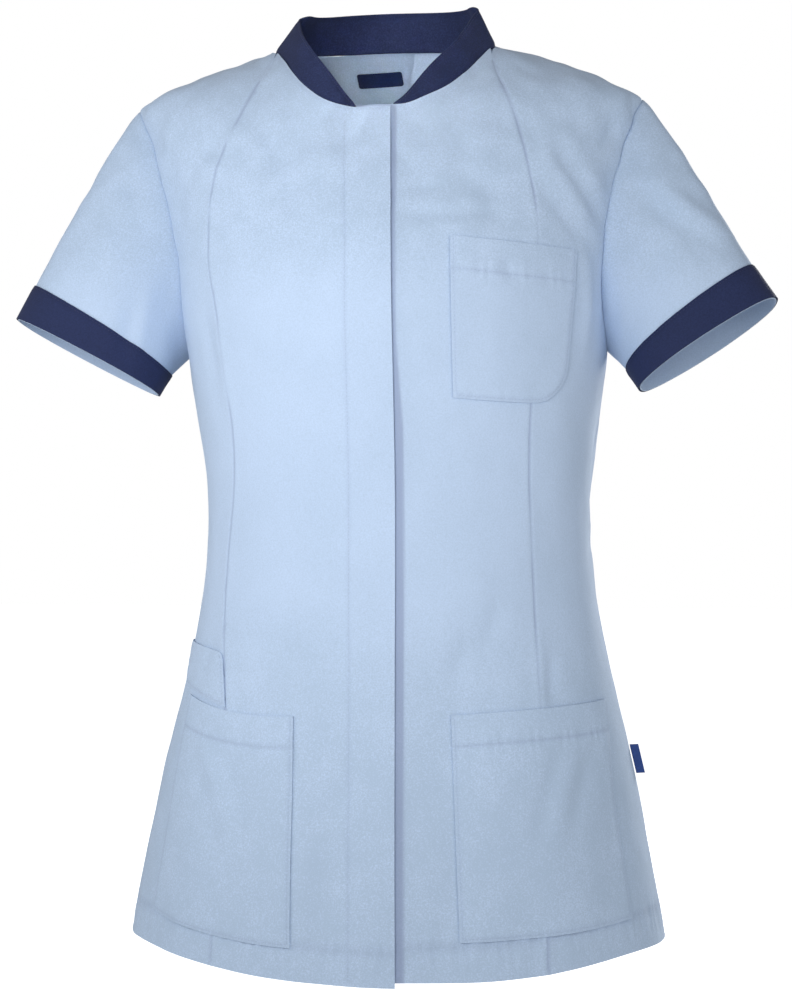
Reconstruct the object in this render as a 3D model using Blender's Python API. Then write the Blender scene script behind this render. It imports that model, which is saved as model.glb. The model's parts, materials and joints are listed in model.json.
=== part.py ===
"""Short-sleeved work jacket in the shape it has when it is worn, with nobody in it.

Metres, +Z up. The front faces -Y and the wearer's left is +X. The origin is the middle of the
neck, level with the shoulder seams' neck ends, where a wearer's shoulders carry the jacket.
Each cut piece is a thin closed wall. A place on the body is given by an angle round it, from 0 at
the centre front to pi at the centre back and minus on the wearer's right, and by its drop, which
is how far below the origin it is. Sizes in this file are in millimetres until a mesh is made.
"""

import math
from collections import namedtuple

import bmesh
import bpy
from mathutils import Vector

MM = 0.001
COLLECTION = "work_jacket"

# Cloth and gaps
CLOTH = 1.2
SEAM_GAP = 0.3
POCKET_WALL = 1.1
POCKET_CLEAR = 0.6
LABEL_WALL = 1.0

# The jacket leans a little to the wearer's right: how far the hem stands to the left of the neck
LEAN = 11.7
LEAN_ENDS_AT = 380.0

# The neck stands a little to the wearer's left of the shoulders' middle
NECK_SHIFT = 1.5
NECK_SHIFT_ENDS_AT = 60.0

# Neck, collar and front edges
BACK_NECK_RISE = 8.0
COLLAR_CLOTH = 1.6
COLLAR_HEIGHT = 34.0
COLLAR_BACK_DIP = 3.0
COLLAR_ENDS = {"right": 14.0, "left": 14.0}
COLLAR_LEAN_SIDE = {"right": 0.76, "left": 0.48}
COLLAR_LEAN_BACK = 0.25
COLLAR_LEAN_FRONT = 0.60
OVERLAP_LIFT = 3.2
OVERLAP_FULL_AT = -18.0
OVERLAP_NONE_AT = -78.0

# Hem
HEM_SIDE = 686.0
HEM_FRONT = 696.0
HEM_BACK = 690.0
HEM_RISE = 9.5
HEM_STEP = 2.0

# Where the broad folds fade out: towards the sides, as a cosine, and below the shoulders, as drops
FOLDS_SIDE_FADE = 0.45
FOLDS_BEGIN = 60.0
FOLDS_FULL = 130.0

# Labels: the neck label's ends and edges on the back, and the side label's edges and reach
LABEL_CLEAR = 1.0
NECK_LABEL_FROM = -30.0
NECK_LABEL_TO = 7.0
NECK_LABEL_TOP = 5.0
NECK_LABEL_LOW = 18.0
NECK_LABEL_COLUMNS = 4
SIDE_LABEL_TOP = 541.0
SIDE_LABEL_LOW = 563.0
SIDE_LABEL_OUT = 7.0
SIDE_LABEL_TURN = math.radians(25.0)

# Armholes: the drops of the shoulder point and of the underarm, and how far round the body the
# opening reaches to the front and to the back of the side, as angles
ARMHOLE_TOP = 45.0
ARMHOLE_BOTTOM = 238.0
ARMHOLE_FORWARDS = 0.35
ARMHOLE_BACKWARDS = 0.45
ARMHOLE_FULLNESS = 0.8

# Sleeves: the middle of the sleeve's end and half its two widths. The slant is how far the end
# tips up towards the outside, and the pitch is how far the sleeve points forwards.
SLEEVE_ACROSS = 239.0
SLEEVE_FORWARDS = 30.0
SLEEVE_DROP = {"right": 242.0, "left": 236.5}
SLEEVE_HALF_WIDE = 61.5
SLEEVE_HALF_DEEP = 43.0
SLEEVE_SQUARENESS = 0.75
SLEEVE_SLANT = {"right": math.radians(27.5), "left": math.radians(32.5)}
SLEEVE_PITCH = math.radians(8.0)

# How a sleeve leaves the armhole: how much forwards and how much downwards for each part outwards,
# and how strongly the curve holds its direction at both ends, as shares of its length
LEAVE_FORWARDS = 0.25
LEAVE_DOWN_AT_TOP = 0.6
LEAVE_DOWN_AT_UNDERARM = 1.0
START_PULL_AT_TOP = 0.3
START_PULL_AT_UNDERARM = 0.8
END_PULL = 0.9

# Cuffs
CUFF_OUTER_WIDTH = 31.0
CUFF_INNER_WIDTH = 20.0
CUFF_WALL = 1.0

# The steps over which a surface's slope is measured: an angle and a drop on the plain body, twice
# both on the folded body, and a share of the sleeve. Edges sharper than SHARP show as edges.
ANGLE_STEP = 0.01
DROP_STEP = 1.0
SLEEVE_STEP = 0.01
SPEED_STEP = 0.2
SHARP = math.radians(50.0)

# How finely the cloth is divided
ROWS_BELOW_ARMHOLE = 15
ROWS_BESIDE_ARMHOLE = 12
EDGE_COLUMNS = {"right": 3, "left": 4}
NECK_COLUMNS = 8
NECK_END_COLUMNS = 2
SHOULDER_COLUMNS = 6
BACK_NECK_COLUMNS = 14
TOP_BULGE_FADE = 4
SLEEVE_ROWS = 9
CUFF_ROWS = 2
COLLAR_ROWS = 3

SIDES = {"right": -1, "left": 1}

# Level sections of the body: half its width, its depths in front of and behind the side seams, and
# how square each is, where 2 is an ellipse
Section = namedtuple("Section", "drop half front back front_square back_square")
BODY = [
    Section(-14, 54.5, 14, 48, 2.0, 2.0),
    Section(-8, 68.5, 16, 57, 2.0, 2.0),
    Section(0, 81.5, 22, 64, 2.0, 1.9),
    Section(5, 100, 31, 68, 2.0, 1.9),
    Section(10.6, 119.6, 38, 72, 2.0, 1.9),
    Section(17.6, 140, 46, 77, 2.0, 1.9),
    Section(24.5, 156.5, 55, 80, 2.0, 1.9),
    Section(33, 177, 63.5, 83, 2.1, 2.0),
    Section(45, 197, 73, 88, 2.2, 2.1),
    Section(61, 192, 85, 93, 2.2, 2.1),
    Section(75, 188.5, 92, 97, 2.2, 2.2),
    Section(100, 184, 104, 102, 2.2, 2.2),
    Section(125, 178, 112, 105, 2.2, 2.2),
    Section(155, 172, 123, 107, 2.2, 2.2),
    Section(200, 167, 131, 109, 2.2, 2.3),
    Section(240, 163, 129, 108, 2.2, 2.3),
    Section(283, 156.8, 122, 104, 2.3, 2.3),
    Section(325, 150.5, 115, 101, 2.3, 2.3),
    Section(361, 147.4, 112, 100, 2.3, 2.3),
    Section(408, 150.5, 115, 103, 2.3, 2.3),
    Section(455, 157.5, 121, 109, 2.3, 2.3),
    Section(505, 168.5, 128, 117, 2.3, 2.3),
    Section(560, 182.3, 136, 127, 2.3, 2.3),
    Section(625, 194.5, 144, 134, 2.3, 2.3),
    Section(710, 211, 152, 141, 2.3, 2.3),
]

# The neck edge on the front, as the drop on each side at a distance from the centre front
NeckRow = namedtuple("NeckRow", "across right left")
NECK = [
    NeckRow(0, 63.1, 61.0),
    NeckRow(10, 64.2, 61.2),
    NeckRow(20, 63.4, 60.7),
    NeckRow(30, 60.9, 57.9),
    NeckRow(42, 54.0, 52.1),
    NeckRow(54, 42.9, 44.3),
    NeckRow(66, 29.0, 32.7),
    NeckRow(75, 16.7, 19.3),
    NeckRow(82.5, 7.0, 7.0),
]

# How high the collar stands on each side at a distance from the centre front
CollarRow = namedtuple("CollarRow", "across right left")
COLLAR = [
    CollarRow(14, 2.5, 2.0),
    CollarRow(20, 9.0, 5.5),
    CollarRow(26, 16.5, 12.0),
    CollarRow(33, 24.0, 20.0),
    CollarRow(42, 30.0, 28.0),
    CollarRow(52, 33.5, 32.5),
    CollarRow(62, 34.5, 33.5),
    CollarRow(83, COLLAR_HEIGHT, COLLAR_HEIGHT),
]

# The long seams, from the neck to the hem, as the distance from the centre front on each side
SeamRow = namedtuple("SeamRow", "drop right left")
LONG_SEAM = [
    SeamRow(7, 82.5, 82.5),
    SeamRow(20, 84.5, 84.5),
    SeamRow(40, 93, 92.5),
    SeamRow(60, 101, 100.5),
    SeamRow(82, 112.4, 106.3),
    SeamRow(112, 125, 113.2),
    SeamRow(150, 129, 118.5),
    SeamRow(180, 129.5, 116.5),
    SeamRow(212, 123.5, 114),
    SeamRow(249, 120, 111.3),
    SeamRow(294, 114, 107.8),
    SeamRow(337, 114.3, 106.2),
    SeamRow(387, 120.8, 108.1),
    SeamRow(419, 122.9, 111),
    SeamRow(461, 122, 113),
    SeamRow(509, 117, 115.5),
    SeamRow(600, 119, 118.5),
    SeamRow(710, 122, 122),
]

# The front edges: how far each front laps past the centre
EdgeRow = namedtuple("EdgeRow", "drop right left")
EDGES = [
    EdgeRow(61, 12, 24),
    EdgeRow(180, 12.5, 24),
    EdgeRow(360, 10.5, 24),
    EdgeRow(500, 12, 24),
    EdgeRow(710, 15, 24),
]

# Pockets, as their top and bottom edges on the front: the left end, the middle and the right end
# of each edge in the picture's sense. rounded is the radius of the bottom corner at the right end.
Place = namedtuple("Place", "across drop")
Pocket = namedtuple("Pocket", "top bottom columns rows rounded")
POCKETS = {
    "pocket_chest": Pocket(
        (Place(55, 163), Place(100.5, 166.3), Place(144.6, 169.2)),
        (Place(54, 279.2), Place(93, 281.8), Place(131, 282.4)),
        8, 9, 18.0,
    ),
    "pocket_hip_left": Pocket(
        (Place(52.5, 507.3), Place(114.8, 504.3), Place(161, 502)),
        (Place(60.4, 666.5), Place(126.7, 663.3), Place(181.5, 659.5)),
        14, 9, 0.0,
    ),
    "pocket_hip_right": Pocket(
        (Place(-150, 500), Place(-110, 509), Place(-62.5, 509.8)),
        (Place(-173, 658.8), Place(-120, 668.6), Place(-61, 673)),
        14, 9, 0.0,
    ),
    "pocket_ticket": Pocket(
        (Place(-157, 461), Place(-140, 463.5), Place(-121.8, 466.8)),
        (Place(-158, 492.5), Place(-140, 499.5), Place(-117, 506)),
        9, 4, 0.0,
    ),
}

# Broad soft folds: a ridge, or a hollow with a height under nothing, along a line between two
# places of the front or the back
Fold = namedtuple("Fold", "face start end width height")
FOLDS = [
    Fold("front", Place(-38, 560), Place(-28, 700), 22, -4.0),
    Fold("front", Place(47, 560), Place(39, 700), 20, -3.0),
    Fold("front", Place(87, 540), Place(150, 690), 26, 3.0),
    Fold("front", Place(162, 560), Place(172, 700), 20, -3.5),
    Fold("front", Place(-138, 540), Place(-152, 700), 20, 3.0),
    Fold("front", Place(112, 430), Place(57, 520), 26, -3.0),
    Fold("front", Place(-93, 420), Place(-43, 500), 26, -2.0),
    Fold("front", Place(74, 95), Place(124, 170), 22, -2.5),
    Fold("front", Place(-82, 85), Place(-45, 175), 24, -2.5),
    Fold("back", Place(-60, 545), Place(-72, 700), 24, 4.0),
    Fold("back", Place(10, 530), Place(5, 700), 22, -4.0),
    Fold("back", Place(75, 545), Place(90, 700), 24, 4.0),
    Fold("back", Place(-50, 330), Place(60, 345), 16, -3.0),
    Fold("back", Place(-75, 380), Place(70, 392), 16, 2.5),
    Fold("back", Place(-110, 150), Place(-60, 230), 22, -2.5),
    Fold("back", Place(110, 150), Place(60, 230), 22, -2.5),
]

Finish = namedtuple("Finish", "name colour roughness")
PALE_BLUE = Finish("pale_blue_cloth", (0.50, 0.64, 0.82, 1.0), 0.85)
NAVY = Finish("navy_cloth", (0.025, 0.035, 0.11, 1.0), 0.8)
LABEL_BLUE = Finish("label_blue", (0.008, 0.022, 0.085, 1.0), 0.7)


def smooth_read(rows, key, value, at):
    """A column's value at a place between rows, on a smooth curve through them."""
    keys = [getattr(row, key) for row in rows]
    values = [getattr(row, value) for row in rows]
    if at <= keys[0]:
        return values[0]
    if at >= keys[-1]:
        return values[-1]
    slopes = []
    for i in range(len(keys)):
        before, after = max(i - 1, 0), min(i + 1, len(keys) - 1)
        slopes.append((values[after] - values[before]) / (keys[after] - keys[before]))
    i = max(k for k in range(len(keys) - 1) if keys[k] <= at)
    span = keys[i + 1] - keys[i]
    t = (at - keys[i]) / span
    return (
        values[i] * (1 + 2 * t) * (1 - t) ** 2
        + slopes[i] * span * t * (1 - t) ** 2
        + values[i + 1] * t * t * (3 - 2 * t)
        - slopes[i + 1] * span * t * t * (1 - t)
    )


def ease(low, high, at):
    """0 up to low, 1 from high on, and a smooth rise between."""
    t = min(1.0, max(0.0, (at - low) / (high - low)))
    return t * t * (3 - 2 * t)


def face_of(angle):
    return "front" if abs(angle) < math.pi / 2 else "back"


def body(column, drop):
    return smooth_read(BODY, "drop", column, drop)


def angle_at(across, drop, face="front"):
    """The angle round the body of a place that lies that far across it."""
    power = body(face + "_square", drop)
    share = max(-1.0, min(1.0, across / body("half", drop)))
    forward = (1 - abs(share) ** power) ** (1 / power)
    angle = math.atan2(share, forward)
    if face == "back":
        angle = math.copysign(math.pi, share) - angle
    return angle


def fold_height(face, across, drop):
    """How far the broad folds stand out of, or sink into, the plain body there."""
    total = 0.0
    for fold in FOLDS:
        if fold.face != face:
            continue
        start, end, place = Vector(fold.start), Vector(fold.end), Vector((across, drop))
        line = end - start
        along = (place - start).dot(line) / line.length_squared
        nearest = start + line * min(1.0, max(0.0, along))
        away = (place - nearest).length / fold.width
        total += fold.height * math.exp(-0.5 * away * away)
    return total


def plain_point(angle, drop):
    face = face_of(angle)
    power = body(face + "_square", drop)
    sine, cosine = math.sin(angle), math.cos(angle)
    reach = (abs(sine) ** power + abs(cosine) ** power) ** (-1 / power)
    return Vector((body("half", drop) * reach * sine, -body(face, drop) * reach * cosine, -drop))


def normal_of(point_at, angle, drop, angle_step, drop_step):
    """Straight out of a surface, from places a step to each side."""
    round_it = point_at(angle + angle_step, drop) - point_at(angle - angle_step, drop)
    up_it = point_at(angle, drop - drop_step) - point_at(angle, drop + drop_step)
    return round_it.cross(up_it).normalized()


def lift_at(across):
    """How far the wearer's right front stands out, to pass over the left front."""
    return OVERLAP_LIFT * ease(OVERLAP_NONE_AT, OVERLAP_FULL_AT, across)


def body_point(angle, drop, lifted=False, out=0.0):
    """A place on the outside of the body cloth, or further out."""
    point = plain_point(angle, drop)
    face = face_of(angle)
    side_fade = ease(0.0, FOLDS_SIDE_FADE, abs(math.cos(angle)))
    fade = side_fade * ease(FOLDS_BEGIN, FOLDS_FULL, drop)
    out = out + fold_height(face, point.x, drop) * fade
    if lifted and face == "front":
        out += lift_at(point.x)
    return point + normal_of(plain_point, angle, drop, ANGLE_STEP, DROP_STEP) * out


def body_normal(angle, drop, lifted=False):
    def point_at(a, d):
        return body_point(a, d, lifted)

    return normal_of(point_at, angle, drop, 2 * ANGLE_STEP, 2 * DROP_STEP)


def hem_drop(angle):
    """The drop of the hem. It is lowest at the centre front and rises between there and the
    side seams."""
    middle = HEM_FRONT if face_of(angle) == "front" else HEM_BACK
    rise = HEM_RISE * (math.sin(2 * angle) * math.sin(angle)) ** 2
    return HEM_SIDE + (middle - HEM_SIDE) * math.cos(angle) ** 2 - rise


def armhole_place(sign, turn):
    """A place on an armhole. turn runs from 0 at the shoulder, forwards, to 1 at the underarm,
    and back up behind to 2."""
    middle = (ARMHOLE_TOP + ARMHOLE_BOTTOM) / 2
    half = (ARMHOLE_BOTTOM - ARMHOLE_TOP) / 2
    sideways = math.sin(turn * math.pi)
    reach = -ARMHOLE_FORWARDS if sideways >= 0 else ARMHOLE_BACKWARDS
    offset = reach * abs(sideways) ** ARMHOLE_FULLNESS
    return sign * (math.pi / 2 + offset), middle - half * math.cos(turn * math.pi)


def between(a, b, t):
    return (a[0] + (b[0] - a[0]) * t, a[1] + (b[1] - a[1]) * t)


def neck_place(side, distance):
    """The place on the front neck edge at a distance from the centre front, to its own side."""
    drop = smooth_read(NECK, "across", side, abs(distance))
    return angle_at(SIDES[side] * distance, drop), drop


def neck_steps(side):
    """The distances of the places along a centre front's neck edge, from its front edge."""
    first = -smooth_read(EDGES, "drop", side, 0)
    middle, last = COLLAR_ENDS[side], NECK[-1].across
    edge_count = EDGE_COLUMNS[side]
    steps = [first + (middle - first) * k / edge_count for k in range(edge_count)]
    steps += [middle + (last - middle) * k / NECK_COLUMNS for k in range(NECK_COLUMNS + 1)]
    return steps


def neck_edge(side):
    """The places on a centre front's neck edge, from its front edge to the long seam."""
    return [neck_place(side, step) for step in neck_steps(side)]


def neck_end(side):
    """The places on a side front's neck edge, from the long seam to the shoulder seam."""
    start = neck_place(side, NECK[-1].across)
    end = (SIDES[side] * math.pi / 2, 0.0)
    return [between(start, end, k / NECK_END_COLUMNS) for k in range(NECK_END_COLUMNS + 1)]


def back_neck():
    """The places on the back's neck edge, from the wearer's right to the left."""
    places = []
    for k in range(BACK_NECK_COLUMNS + 1):
        angle = 1.5 * math.pi - math.pi * k / BACK_NECK_COLUMNS
        places.append((angle, -BACK_NECK_RISE * math.cos(angle) ** 2))
    return places


def upward_drops(low_drop, top_drop):
    """The drops of the rows from the hem to the top, split at the underarm."""
    lower = [
        low_drop + (ARMHOLE_BOTTOM - low_drop) * k / ROWS_BELOW_ARMHOLE
        for k in range(ROWS_BELOW_ARMHOLE)
    ]
    upper = [
        ARMHOLE_BOTTOM + (top_drop - ARMHOLE_BOTTOM) * k / ROWS_BESIDE_ARMHOLE
        for k in range(ROWS_BESIDE_ARMHOLE + 1)
    ]
    return lower + upper


def seam_rows(side):
    """The places on a long seam, hem to neck, one for each row."""
    sign = SIDES[side]

    def place(drop):
        return angle_at(sign * smooth_read(LONG_SEAM, "drop", side, drop), drop), drop

    low = hem_drop(place(HEM_SIDE)[0])
    return [place(drop) for drop in upward_drops(low, LONG_SEAM[0].drop)]


def edge_rows(side):
    """The places on a front edge, hem to neck, one for each row."""
    sign = SIDES[side]

    def place(drop):
        return angle_at(-sign * smooth_read(EDGES, "drop", side, drop), drop), drop

    low = hem_drop(0.0) - sign * HEM_STEP
    return [place(drop) for drop in upward_drops(low, neck_edge(side)[0][1])]


def side_rows(sign, face):
    """The places up the side seam and then round half of the armhole to the shoulder point."""
    angle = sign * math.pi / 2
    low = hem_drop(angle)
    rows = [
        (angle, low + (ARMHOLE_BOTTOM - low) * k / ROWS_BELOW_ARMHOLE)
        for k in range(ROWS_BELOW_ARMHOLE)
    ]
    for k in range(ROWS_BESIDE_ARMHOLE + 1):
        turn = 1 - k / ROWS_BESIDE_ARMHOLE
        rows.append(armhole_place(sign, turn if face == "front" else 2 - turn))
    return rows


def shoulder_columns(sign):
    """The places along a shoulder seam, from the neck to the shoulder point."""
    angle = sign * math.pi / 2
    return [(angle, ARMHOLE_TOP * k / SHOULDER_COLUMNS) for k in range(SHOULDER_COLUMNS + 1)]


def hem_columns(first, second, columns):
    """The places along the hem between two places of it."""
    places = []
    for k in range(columns + 1):
        angle, drop = between(first, second, k / columns)
        level = between((0, hem_drop(first[0])), (0, hem_drop(second[0])), k / columns)[1]
        places.append((angle, drop + hem_drop(angle) - level))
    return places


def place_at(point):
    """The place on the body that is level with a point and at the same angle."""
    depth = body("front" if point.y < 0 else "back", -point.z)
    return math.atan2(point.x / body("half", -point.z), -point.y / depth), -point.z


def patch(first_side, second_side, bottom, top):
    """A grid of places inside four edges, each a list of places. Rows run bottom to top. The
    points are spread evenly between the edges in space, with the shape of the top edge fading
    out quickly below it, and are then brought back to the body."""
    edges = (first_side, second_side, bottom, top)
    first_side, second_side, bottom, top = [
        [plain_point(*place) for place in edge] for edge in edges
    ]
    columns, rows = len(bottom) - 1, len(first_side) - 1
    grid = []
    for j in range(rows + 1):
        t = j / rows
        line = []
        for i in range(columns + 1):
            s = i / columns
            low_bulge = bottom[i] - bottom[0].lerp(bottom[-1], s)
            top_bulge = top[i] - top[0].lerp(top[-1], s)
            upright = first_side[j].lerp(second_side[j], s)
            line.append(place_at(upright + low_bulge * (1 - t) + top_bulge * t**TOP_BULGE_FADE))
        grid.append(line)
    return grid


def wrapped(angle):
    return angle - 2 * math.pi if angle > math.pi else angle


def inner_corner(point, normal, other_normal, wall):
    """Where two walls that meet at a point have their common inner corner."""
    middle = -(normal + other_normal).normalized()
    return point + middle * wall / max(0.5, middle.dot(-normal))


def body_wall(grid, lifted):
    """The outer and inner points of the body cloth over a grid of places."""
    outer, inner = [], []
    for line in grid:
        points = [body_point(a, d, lifted) for a, d in line]
        normals = [body_normal(a, d, lifted) for a, d in line]
        outer.append(points)
        inner.append([p - n * CLOTH for p, n in zip(points, normals)])
    return outer, inner


def draw_in(outer, inner, edges, around=False):
    """Moves a wall's named edges back by half the gap at a seam, square to the seam."""
    rows, columns = len(outer), len(outer[0])
    lines = {
        "bottom": [((0, i), (1, i)) for i in range(columns)],
        "top": [((rows - 1, i), (rows - 2, i)) for i in range(columns)],
        "first": [((j, 0), (j, 1)) for j in range(rows)],
        "second": [((j, columns - 1), (j, columns - 2)) for j in range(rows)],
    }
    moves = {}
    for edge in edges:
        line = lines[edge]
        count = len(line)
        directions = []
        turn_sum = 0.0
        for k, ((j, i), (inward_j, inward_i)) in enumerate(line):
            before = line[(k - 1) % count if around else max(k - 1, 0)][0]
            after = line[(k + 1) % count if around else min(k + 1, count - 1)][0]
            along = outer[after[0]][after[1]] - outer[before[0]][before[1]]
            through = outer[j][i] - inner[j][i]
            square = through.cross(along).normalized()
            inward = (outer[inward_j][inward_i] - outer[j][i]).normalized()
            turn_sum += square.dot(inward)
            directions.append(((j, i), square))
        sign = math.copysign(SEAM_GAP / 2, turn_sum)
        for place, square in directions:
            moves[place] = moves.get(place, Vector((0, 0, 0))) + square * sign
    for (j, i), move in moves.items():
        outer[j][i] = outer[j][i] + move
        inner[j][i] = inner[j][i] + move


def lean_at(drop):
    """How far a level of the jacket stands to the wearer's left."""
    t = min(1.0, max(0.0, drop / LEAN_ENDS_AT))
    return LEAN * t * (2 - t) + NECK_SHIFT * (1 - ease(0.0, NECK_SHIFT_ENDS_AT, drop))


def placed(point):
    """A point of the finished jacket, in metres."""
    return (point + Vector((lean_at(-point.z), 0, 0))) * MM


def wall_object(name, outer, inner, finish, around=False):
    """A closed wall between two grids of points. around joins each row's end to its start."""
    made = bmesh.new()
    rows, columns = len(outer), len(outer[0])
    skins = []
    for grid in (outer, inner):
        skins.append([[made.verts.new(placed(point)) for point in line] for line in grid])
    out, back = skins
    across = columns if around else columns - 1
    for j in range(rows - 1):
        for i in range(across):
            k = (i + 1) % columns
            made.faces.new((out[j][i], out[j][k], out[j + 1][k], out[j + 1][i]))
            made.faces.new((back[j][i], back[j + 1][i], back[j + 1][k], back[j][k]))
    for i in range(across):
        k = (i + 1) % columns
        made.faces.new((out[0][k], out[0][i], back[0][i], back[0][k]))
        made.faces.new((out[-1][i], out[-1][k], back[-1][k], back[-1][i]))
    if not around:
        for j in range(rows - 1):
            made.faces.new((out[j][0], out[j + 1][0], back[j + 1][0], back[j][0]))
            made.faces.new((out[j + 1][-1], out[j][-1], back[j][-1], back[j + 1][-1]))
    bmesh.ops.recalc_face_normals(made, faces=made.faces)
    bmesh.ops.triangulate(made, faces=made.faces)
    mesh = bpy.data.meshes.new(name)
    made.to_mesh(mesh)
    made.free()
    mesh.shade_smooth()
    mesh.set_sharp_from_angle(angle=SHARP)
    mesh.materials.append(material(finish))
    thing = bpy.data.objects.new(name, mesh)
    bpy.data.collections[COLLECTION].objects.link(thing)


def material(finish):
    made = bpy.data.materials.get(finish.name)
    if made is None:
        made = bpy.data.materials.new(finish.name)
        made.use_nodes = True
        shader = made.node_tree.nodes["Principled BSDF"]
        shader.inputs["Base Color"].default_value = finish.colour
        shader.inputs["Roughness"].default_value = finish.roughness
        shader.inputs["Metallic"].default_value = 0.0
    return made


# Sleeves


def sleeve_axes(sign):
    """The sleeve's end: outwards across it, forwards across it, and down along the sleeve."""
    slant = SLEEVE_SLANT["left" if sign > 0 else "right"]
    outwards = Vector((sign * math.cos(slant), 0, math.sin(slant)))
    plumb = Vector((sign * math.sin(slant), 0, -math.cos(slant)))
    ahead = Vector((0, -1, 0))
    forwards = ahead * math.cos(SLEEVE_PITCH) - plumb * math.sin(SLEEVE_PITCH)
    down = plumb * math.cos(SLEEVE_PITCH) + ahead * math.sin(SLEEVE_PITCH)
    return outwards, forwards, down


def sleeve_point(sign, turn, t):
    """A point of the sleeve's outside, t from 0 at the armhole to 1 at the sleeve's end."""
    outwards, forwards, down = sleeve_axes(sign)
    start = body_point(*armhole_place(sign, turn))
    drop = SLEEVE_DROP["left" if sign > 0 else "right"]
    middle = Vector((sign * SLEEVE_ACROSS, -SLEEVE_FORWARDS, -drop))
    sine, cosine = math.sin(turn * math.pi), math.cos(turn * math.pi)
    reach = math.copysign(abs(sine) ** SLEEVE_SQUARENESS, sine)
    end = middle + outwards * SLEEVE_HALF_WIDE * cosine + forwards * SLEEVE_HALF_DEEP * reach
    underarm = 0.5 - 0.5 * cosine
    sink = LEAVE_DOWN_AT_TOP + (LEAVE_DOWN_AT_UNDERARM - LEAVE_DOWN_AT_TOP) * underarm
    leave = Vector((sign, -LEAVE_FORWARDS * max(0.0, sine), -sink)).normalized()
    length = (end - start).length
    hold = START_PULL_AT_TOP + (START_PULL_AT_UNDERARM - START_PULL_AT_TOP) * underarm
    start_pull = length * hold
    end_pull = length * END_PULL
    return (
        start * (1 + 2 * t) * (1 - t) ** 2
        + leave * start_pull * t * (1 - t) ** 2
        + end * t * t * (3 - 2 * t)
        - down * end_pull * t * t * (1 - t)
    )


def sleeve_normal(sign, turn, t):
    ahead = sleeve_point(sign, turn + SLEEVE_STEP, t)
    round_it = ahead - sleeve_point(sign, turn - SLEEVE_STEP, t)
    low, high = max(0.0, t - SLEEVE_STEP), min(1.0, t + SLEEVE_STEP)
    along = sleeve_point(sign, turn, high) - sleeve_point(sign, turn, low)
    return round_it.cross(along).normalized() * sign


def armhole_inside(sign, turn):
    """The inner corner that the body's wall and the sleeve's wall share."""
    place = armhole_place(sign, turn)
    return inner_corner(
        body_point(*place), body_normal(*place), sleeve_normal(sign, turn, 0.0), CLOTH
    )


def fit_armhole(inner, column, sign, face):
    """Gives a body panel's armhole edge the inner corners that it shares with the sleeve."""
    for k in range(ROWS_BESIDE_ARMHOLE + 1):
        turn = 1 - k / ROWS_BESIDE_ARMHOLE
        if face == "back":
            turn = 2 - turn
        inner[ROWS_BELOW_ARMHOLE + k][column] = armhole_inside(sign, turn)


def sleeve_turns():
    count = 2 * ROWS_BESIDE_ARMHOLE
    return [2 * k / count for k in range(count)]


def add_sleeve(side):
    sign = SIDES[side]
    turns = sleeve_turns()
    outer, inner = [], []
    for j in range(SLEEVE_ROWS + 1):
        t = j / SLEEVE_ROWS
        points = [sleeve_point(sign, turn, t) for turn in turns]
        outer.append(points)
        inner.append([p - sleeve_normal(sign, u, t) * CLOTH for p, u in zip(points, turns)])
    inner[0] = [armhole_inside(sign, turn) for turn in turns]
    draw_in(outer, inner, ["bottom"], around=True)
    wall_object("sleeve_" + side, outer, inner, PALE_BLUE, around=True)


def add_cuff(side):
    """The band round the outside of the sleeve's end."""
    sign = SIDES[side]
    outer, inner = [], []
    for j in range(CUFF_ROWS + 1):
        share = j / CUFF_ROWS
        out_line, in_line = [], []
        for turn in sleeve_turns():
            underarm = 0.5 - 0.5 * math.cos(turn * math.pi)
            width = CUFF_OUTER_WIDTH + (CUFF_INNER_WIDTH - CUFF_OUTER_WIDTH) * underarm
            last = sleeve_point(sign, turn, 1.0) - sleeve_point(sign, turn, 1 - SPEED_STEP)
            speed = last.length / SPEED_STEP
            t = 1 - (width / speed) * (1 - share)
            point, normal = sleeve_point(sign, turn, t), sleeve_normal(sign, turn, t)
            out_line.append(point + normal * (POCKET_CLEAR + CUFF_WALL))
            in_line.append(point + normal * POCKET_CLEAR)
        outer.append(out_line)
        inner.append(in_line)
    wall_object("cuff_" + side, outer, inner, NAVY, around=True)


# Neck and collar

CollarRib = namedtuple("CollarRib", "base up away height corner")


def collar_up(angle):
    """The collar's upward direction at an angle round the neck: it leans in."""
    cosine = math.cos(angle)
    end = COLLAR_LEAN_FRONT if cosine > 0 else COLLAR_LEAN_BACK
    beside = COLLAR_LEAN_SIDE["left" if math.sin(angle) > 0 else "right"]
    lean = beside + (end - beside) * cosine * cosine
    inward = Vector((-math.sin(angle), cosine, 0))
    return (inward * lean + Vector((0, 0, 1))).normalized()


def collar_spots(side):
    """The places that carry the collar on one side, with their lift and the collar's height."""
    lifted = side == "right"
    edge_count = EDGE_COLUMNS[side]
    spots = []
    for step, place in list(zip(neck_steps(side), neck_edge(side)))[edge_count:]:
        spots.append((place, lifted, smooth_read(COLLAR, "across", side, step)))
    for place in neck_end(side)[1:]:
        spots.append((place, lifted, COLLAR_HEIGHT))
    return spots


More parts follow.
